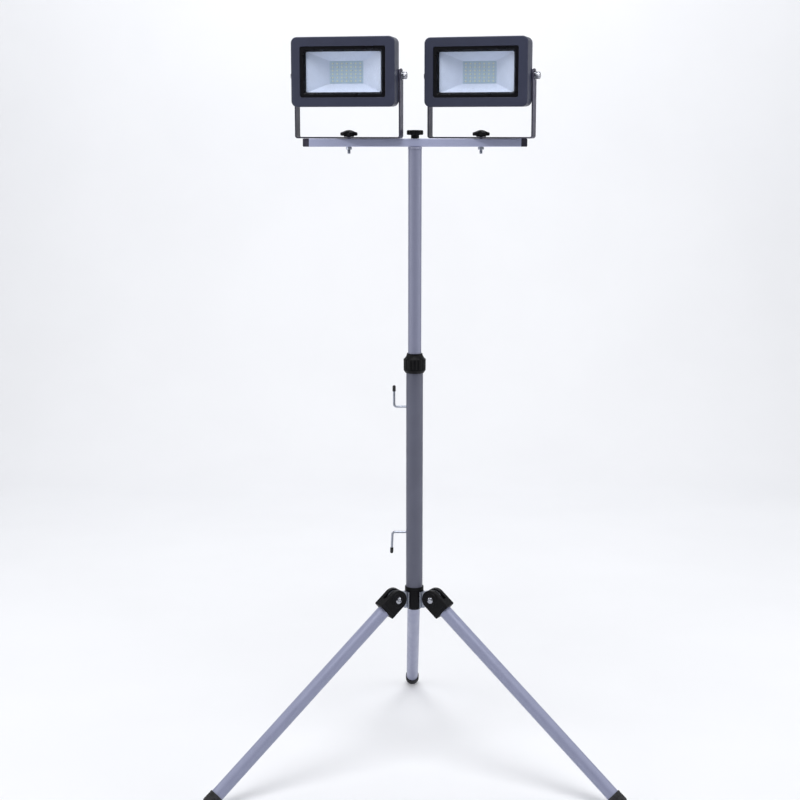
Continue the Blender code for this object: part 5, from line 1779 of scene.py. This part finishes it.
class WORKLIGHT_OT_finishes(bpy.types.Operator):
    """Make every finish of the work light and its studio"""

    bl_idname = "worklight.finishes"
    bl_label = "Make Finishes"

    def execute(self, context):
        colours = context.scene.work_light_colours
        metallic_coat("silver powder coat", tuple(colours.silver), 0.42)
        metallic_coat("mast powder coat", tuple(colours.mast), 0.42)
        metallic_coat("bar powder coat", tuple(colours.bar), 0.42)
        # The last colour given to each powder coat and nylon is its painted edge highlight.
        powder_coat("grey powder coat", tuple(colours.grey), 0.5, linear("74768A"))
        powder_coat("anthracite powder coat", tuple(colours.housing), 0.5, linear("4A4E66"))
        powder_coat("bracket powder coat", tuple(colours.bracket), 0.48, linear("5C5A70"))
        moulded_nylon("black moulded nylon", tuple(colours.nylon), linear("1A1A22"))
        moulded_nylon("charcoal nylon", tuple(colours.cap), linear("62606E"))
        moulded_nylon("grey moulded nylon", tuple(colours.mast), linear("9A9CB0"))
        gloss_abs("black ABS", tuple(colours.bezel))
        moulded_rubber("black rubber", tuple(colours.rubber))
        zinc_plate("zinc plate", tuple(colours.zinc))
        bright_steel("bright steel", tuple(colours.steel))
        white_aluminium("white-coated aluminium", tuple(colours.reflector))
        solder_mask("white solder mask", tuple(colours.board))
        led_phosphor("LED phosphor", tuple(colours.phosphor))
        white_resin("white LED resin", tuple(colours.resin))
        silicone("grey silicone", tuple(colours.silicone))
        toughened_glass("toughened glass", tuple(colours.glass))
        matt_paper("studio paper", tuple(colours.paper))
        return {"FINISHED"}


class WORKLIGHT_OT_masts(bpy.types.Operator):
    """Add both mast tubes"""

    bl_idname = "worklight.masts"
    bl_label = "Add Masts"

    def execute(self, context):
        add_masts(context.scene.work_light_tubes)
        return {"FINISHED"}


class WORKLIGHT_OT_collar(bpy.types.Operator):
    """Add the clamp collar between the masts"""

    bl_idname = "worklight.collar"
    bl_label = "Add Collar"

    def execute(self, context):
        add_collar(context.scene.work_light_tubes)
        return {"FINISHED"}


class WORKLIGHT_OT_hub(bpy.types.Operator):
    """Add the tripod hub and its steel lugs"""

    bl_idname = "worklight.hub"
    bl_label = "Add Hub"

    def execute(self, context):
        add_hub(context.scene.work_light_legs)
        return {"FINISHED"}


class WORKLIGHT_OT_legs(bpy.types.Operator):
    """Add the three legs with their knuckles, rivets and feet"""

    bl_idname = "worklight.legs"
    bl_label = "Add Legs"

    def execute(self, context):
        add_legs(context.scene.work_light_tubes, context.scene.work_light_legs)
        return {"FINISHED"}


class WORKLIGHT_OT_hooks(bpy.types.Operator):
    """Add the two cable hooks with their rubber tips"""

    bl_idname = "worklight.hooks"
    bl_label = "Add Cable Hooks"

    def execute(self, context):
        add_hooks(context.scene.work_light_fittings)
        return {"FINISHED"}


class WORKLIGHT_OT_crossbar(bpy.types.Operator):
    """Add the crossbar with its end plugs and nuts"""

    bl_idname = "worklight.crossbar"
    bl_label = "Add Crossbar"

    def execute(self, context):
        add_crossbar(context.scene.work_light_tubes, context.scene.work_light_fittings)
        return {"FINISHED"}


class WORKLIGHT_OT_knobs(bpy.types.Operator):
    """Add the three star knobs with their studs"""

    bl_idname = "worklight.knobs"
    bl_label = "Add Knobs"

    def execute(self, context):
        add_knobs(context.scene.work_light_fittings)
        return {"FINISHED"}


class WORKLIGHT_OT_brackets(bpy.types.Operator):
    """Add the two lamp brackets"""

    bl_idname = "worklight.brackets"
    bl_label = "Add Brackets"

    def execute(self, context):
        add_brackets(context.scene.work_light_heads)
        return {"FINISHED"}


class WORKLIGHT_OT_housings(bpy.types.Operator):
    """Add the lamp housings with their bezels and panes"""

    bl_idname = "worklight.housings"
    bl_label = "Add Housings"

    def execute(self, context):
        add_housings(context.scene.work_light_heads)
        return {"FINISHED"}


class WORKLIGHT_OT_optics(bpy.types.Operator):
    """Add the reflectors and the LED boards"""

    bl_idname = "worklight.optics"
    bl_label = "Add Optics"

    def execute(self, context):
        add_optics(context.scene.work_light_heads)
        return {"FINISHED"}


class WORKLIGHT_OT_rear(bpy.types.Operator):
    """Add the rear covers with their screws and glands"""

    bl_idname = "worklight.rear"
    bl_label = "Add Rear Covers"

    def execute(self, context):
        add_rear(context.scene.work_light_heads)
        return {"FINISHED"}


class WORKLIGHT_OT_bolts(bpy.types.Operator):
    """Add the tilt bolts with their washers"""

    bl_idname = "worklight.bolts"
    bl_label = "Add Tilt Bolts"

    def execute(self, context):
        add_bolts(context.scene.work_light_fittings)
        return {"FINISHED"}


class WORKLIGHT_OT_stage(bpy.types.Operator):
    """Set up the paper floor, the lights and the camera"""

    bl_idname = "worklight.stage"
    bl_label = "Set Up Studio"

    def execute(self, context):
        add_floor()
        add_lights(context.scene.work_light_studio)
        add_camera(context.scene.work_light_studio)
        context.scene.view_settings.view_transform = "Standard"
        return {"FINISHED"}


class WORKLIGHT_PT_panel(bpy.types.Panel):
    """Lists the work light's pieces in the order in which they are built"""

    bl_idname = "WORKLIGHT_PT_panel"
    bl_label = "Work Light"
    bl_space_type = "VIEW_3D"
    bl_region_type = "UI"
    bl_category = "Work Light"

    def draw(self, context):
        for operator in OPERATORS:
            self.layout.operator(operator.bl_idname)
        for name, group in GROUPS.items():
            box = self.layout.box()
            box.label(text=group.__doc__)
            settings = getattr(context.scene, name)
            for setting in group.__annotations__:
                box.prop(settings, setting)


GROUPS = {
    "work_light_colours": WorkLightColours,
    "work_light_tubes": WorkLightTubes,
    "work_light_legs": WorkLightLegs,
    "work_light_fittings": WorkLightFittings,
    "work_light_heads": WorkLightHeads,
    "work_light_studio": WorkLightStudio,
}

OPERATORS = (
    WORKLIGHT_OT_finishes,
    WORKLIGHT_OT_masts,
    WORKLIGHT_OT_collar,
    WORKLIGHT_OT_hub,
    WORKLIGHT_OT_legs,
    WORKLIGHT_OT_hooks,
    WORKLIGHT_OT_crossbar,
    WORKLIGHT_OT_knobs,
    WORKLIGHT_OT_brackets,
    WORKLIGHT_OT_housings,
    WORKLIGHT_OT_optics,
    WORKLIGHT_OT_rear,
    WORKLIGHT_OT_bolts,
    WORKLIGHT_OT_stage,
)


def register():
    for group in GROUPS.values():
        bpy.utils.register_class(group)
    for operator in OPERATORS:
        bpy.utils.register_class(operator)
    bpy.utils.register_class(WORKLIGHT_PT_panel)
    for name, group in GROUPS.items():
        setattr(bpy.types.Scene, name, bpy.props.PointerProperty(type=group))


def unregister():
    for name in GROUPS:
        delattr(bpy.types.Scene, name)
    bpy.utils.unregister_class(WORKLIGHT_PT_panel)
    for operator in reversed(OPERATORS):
        bpy.utils.unregister_class(operator)
    for group in reversed(GROUPS.values()):
        bpy.utils.unregister_class(group)


def main():
    register()
    for operator in OPERATORS:
        group, name = operator.bl_idname.split(".")
        getattr(getattr(bpy.ops, group), name)()


if __name__ == "__main__":
    main()
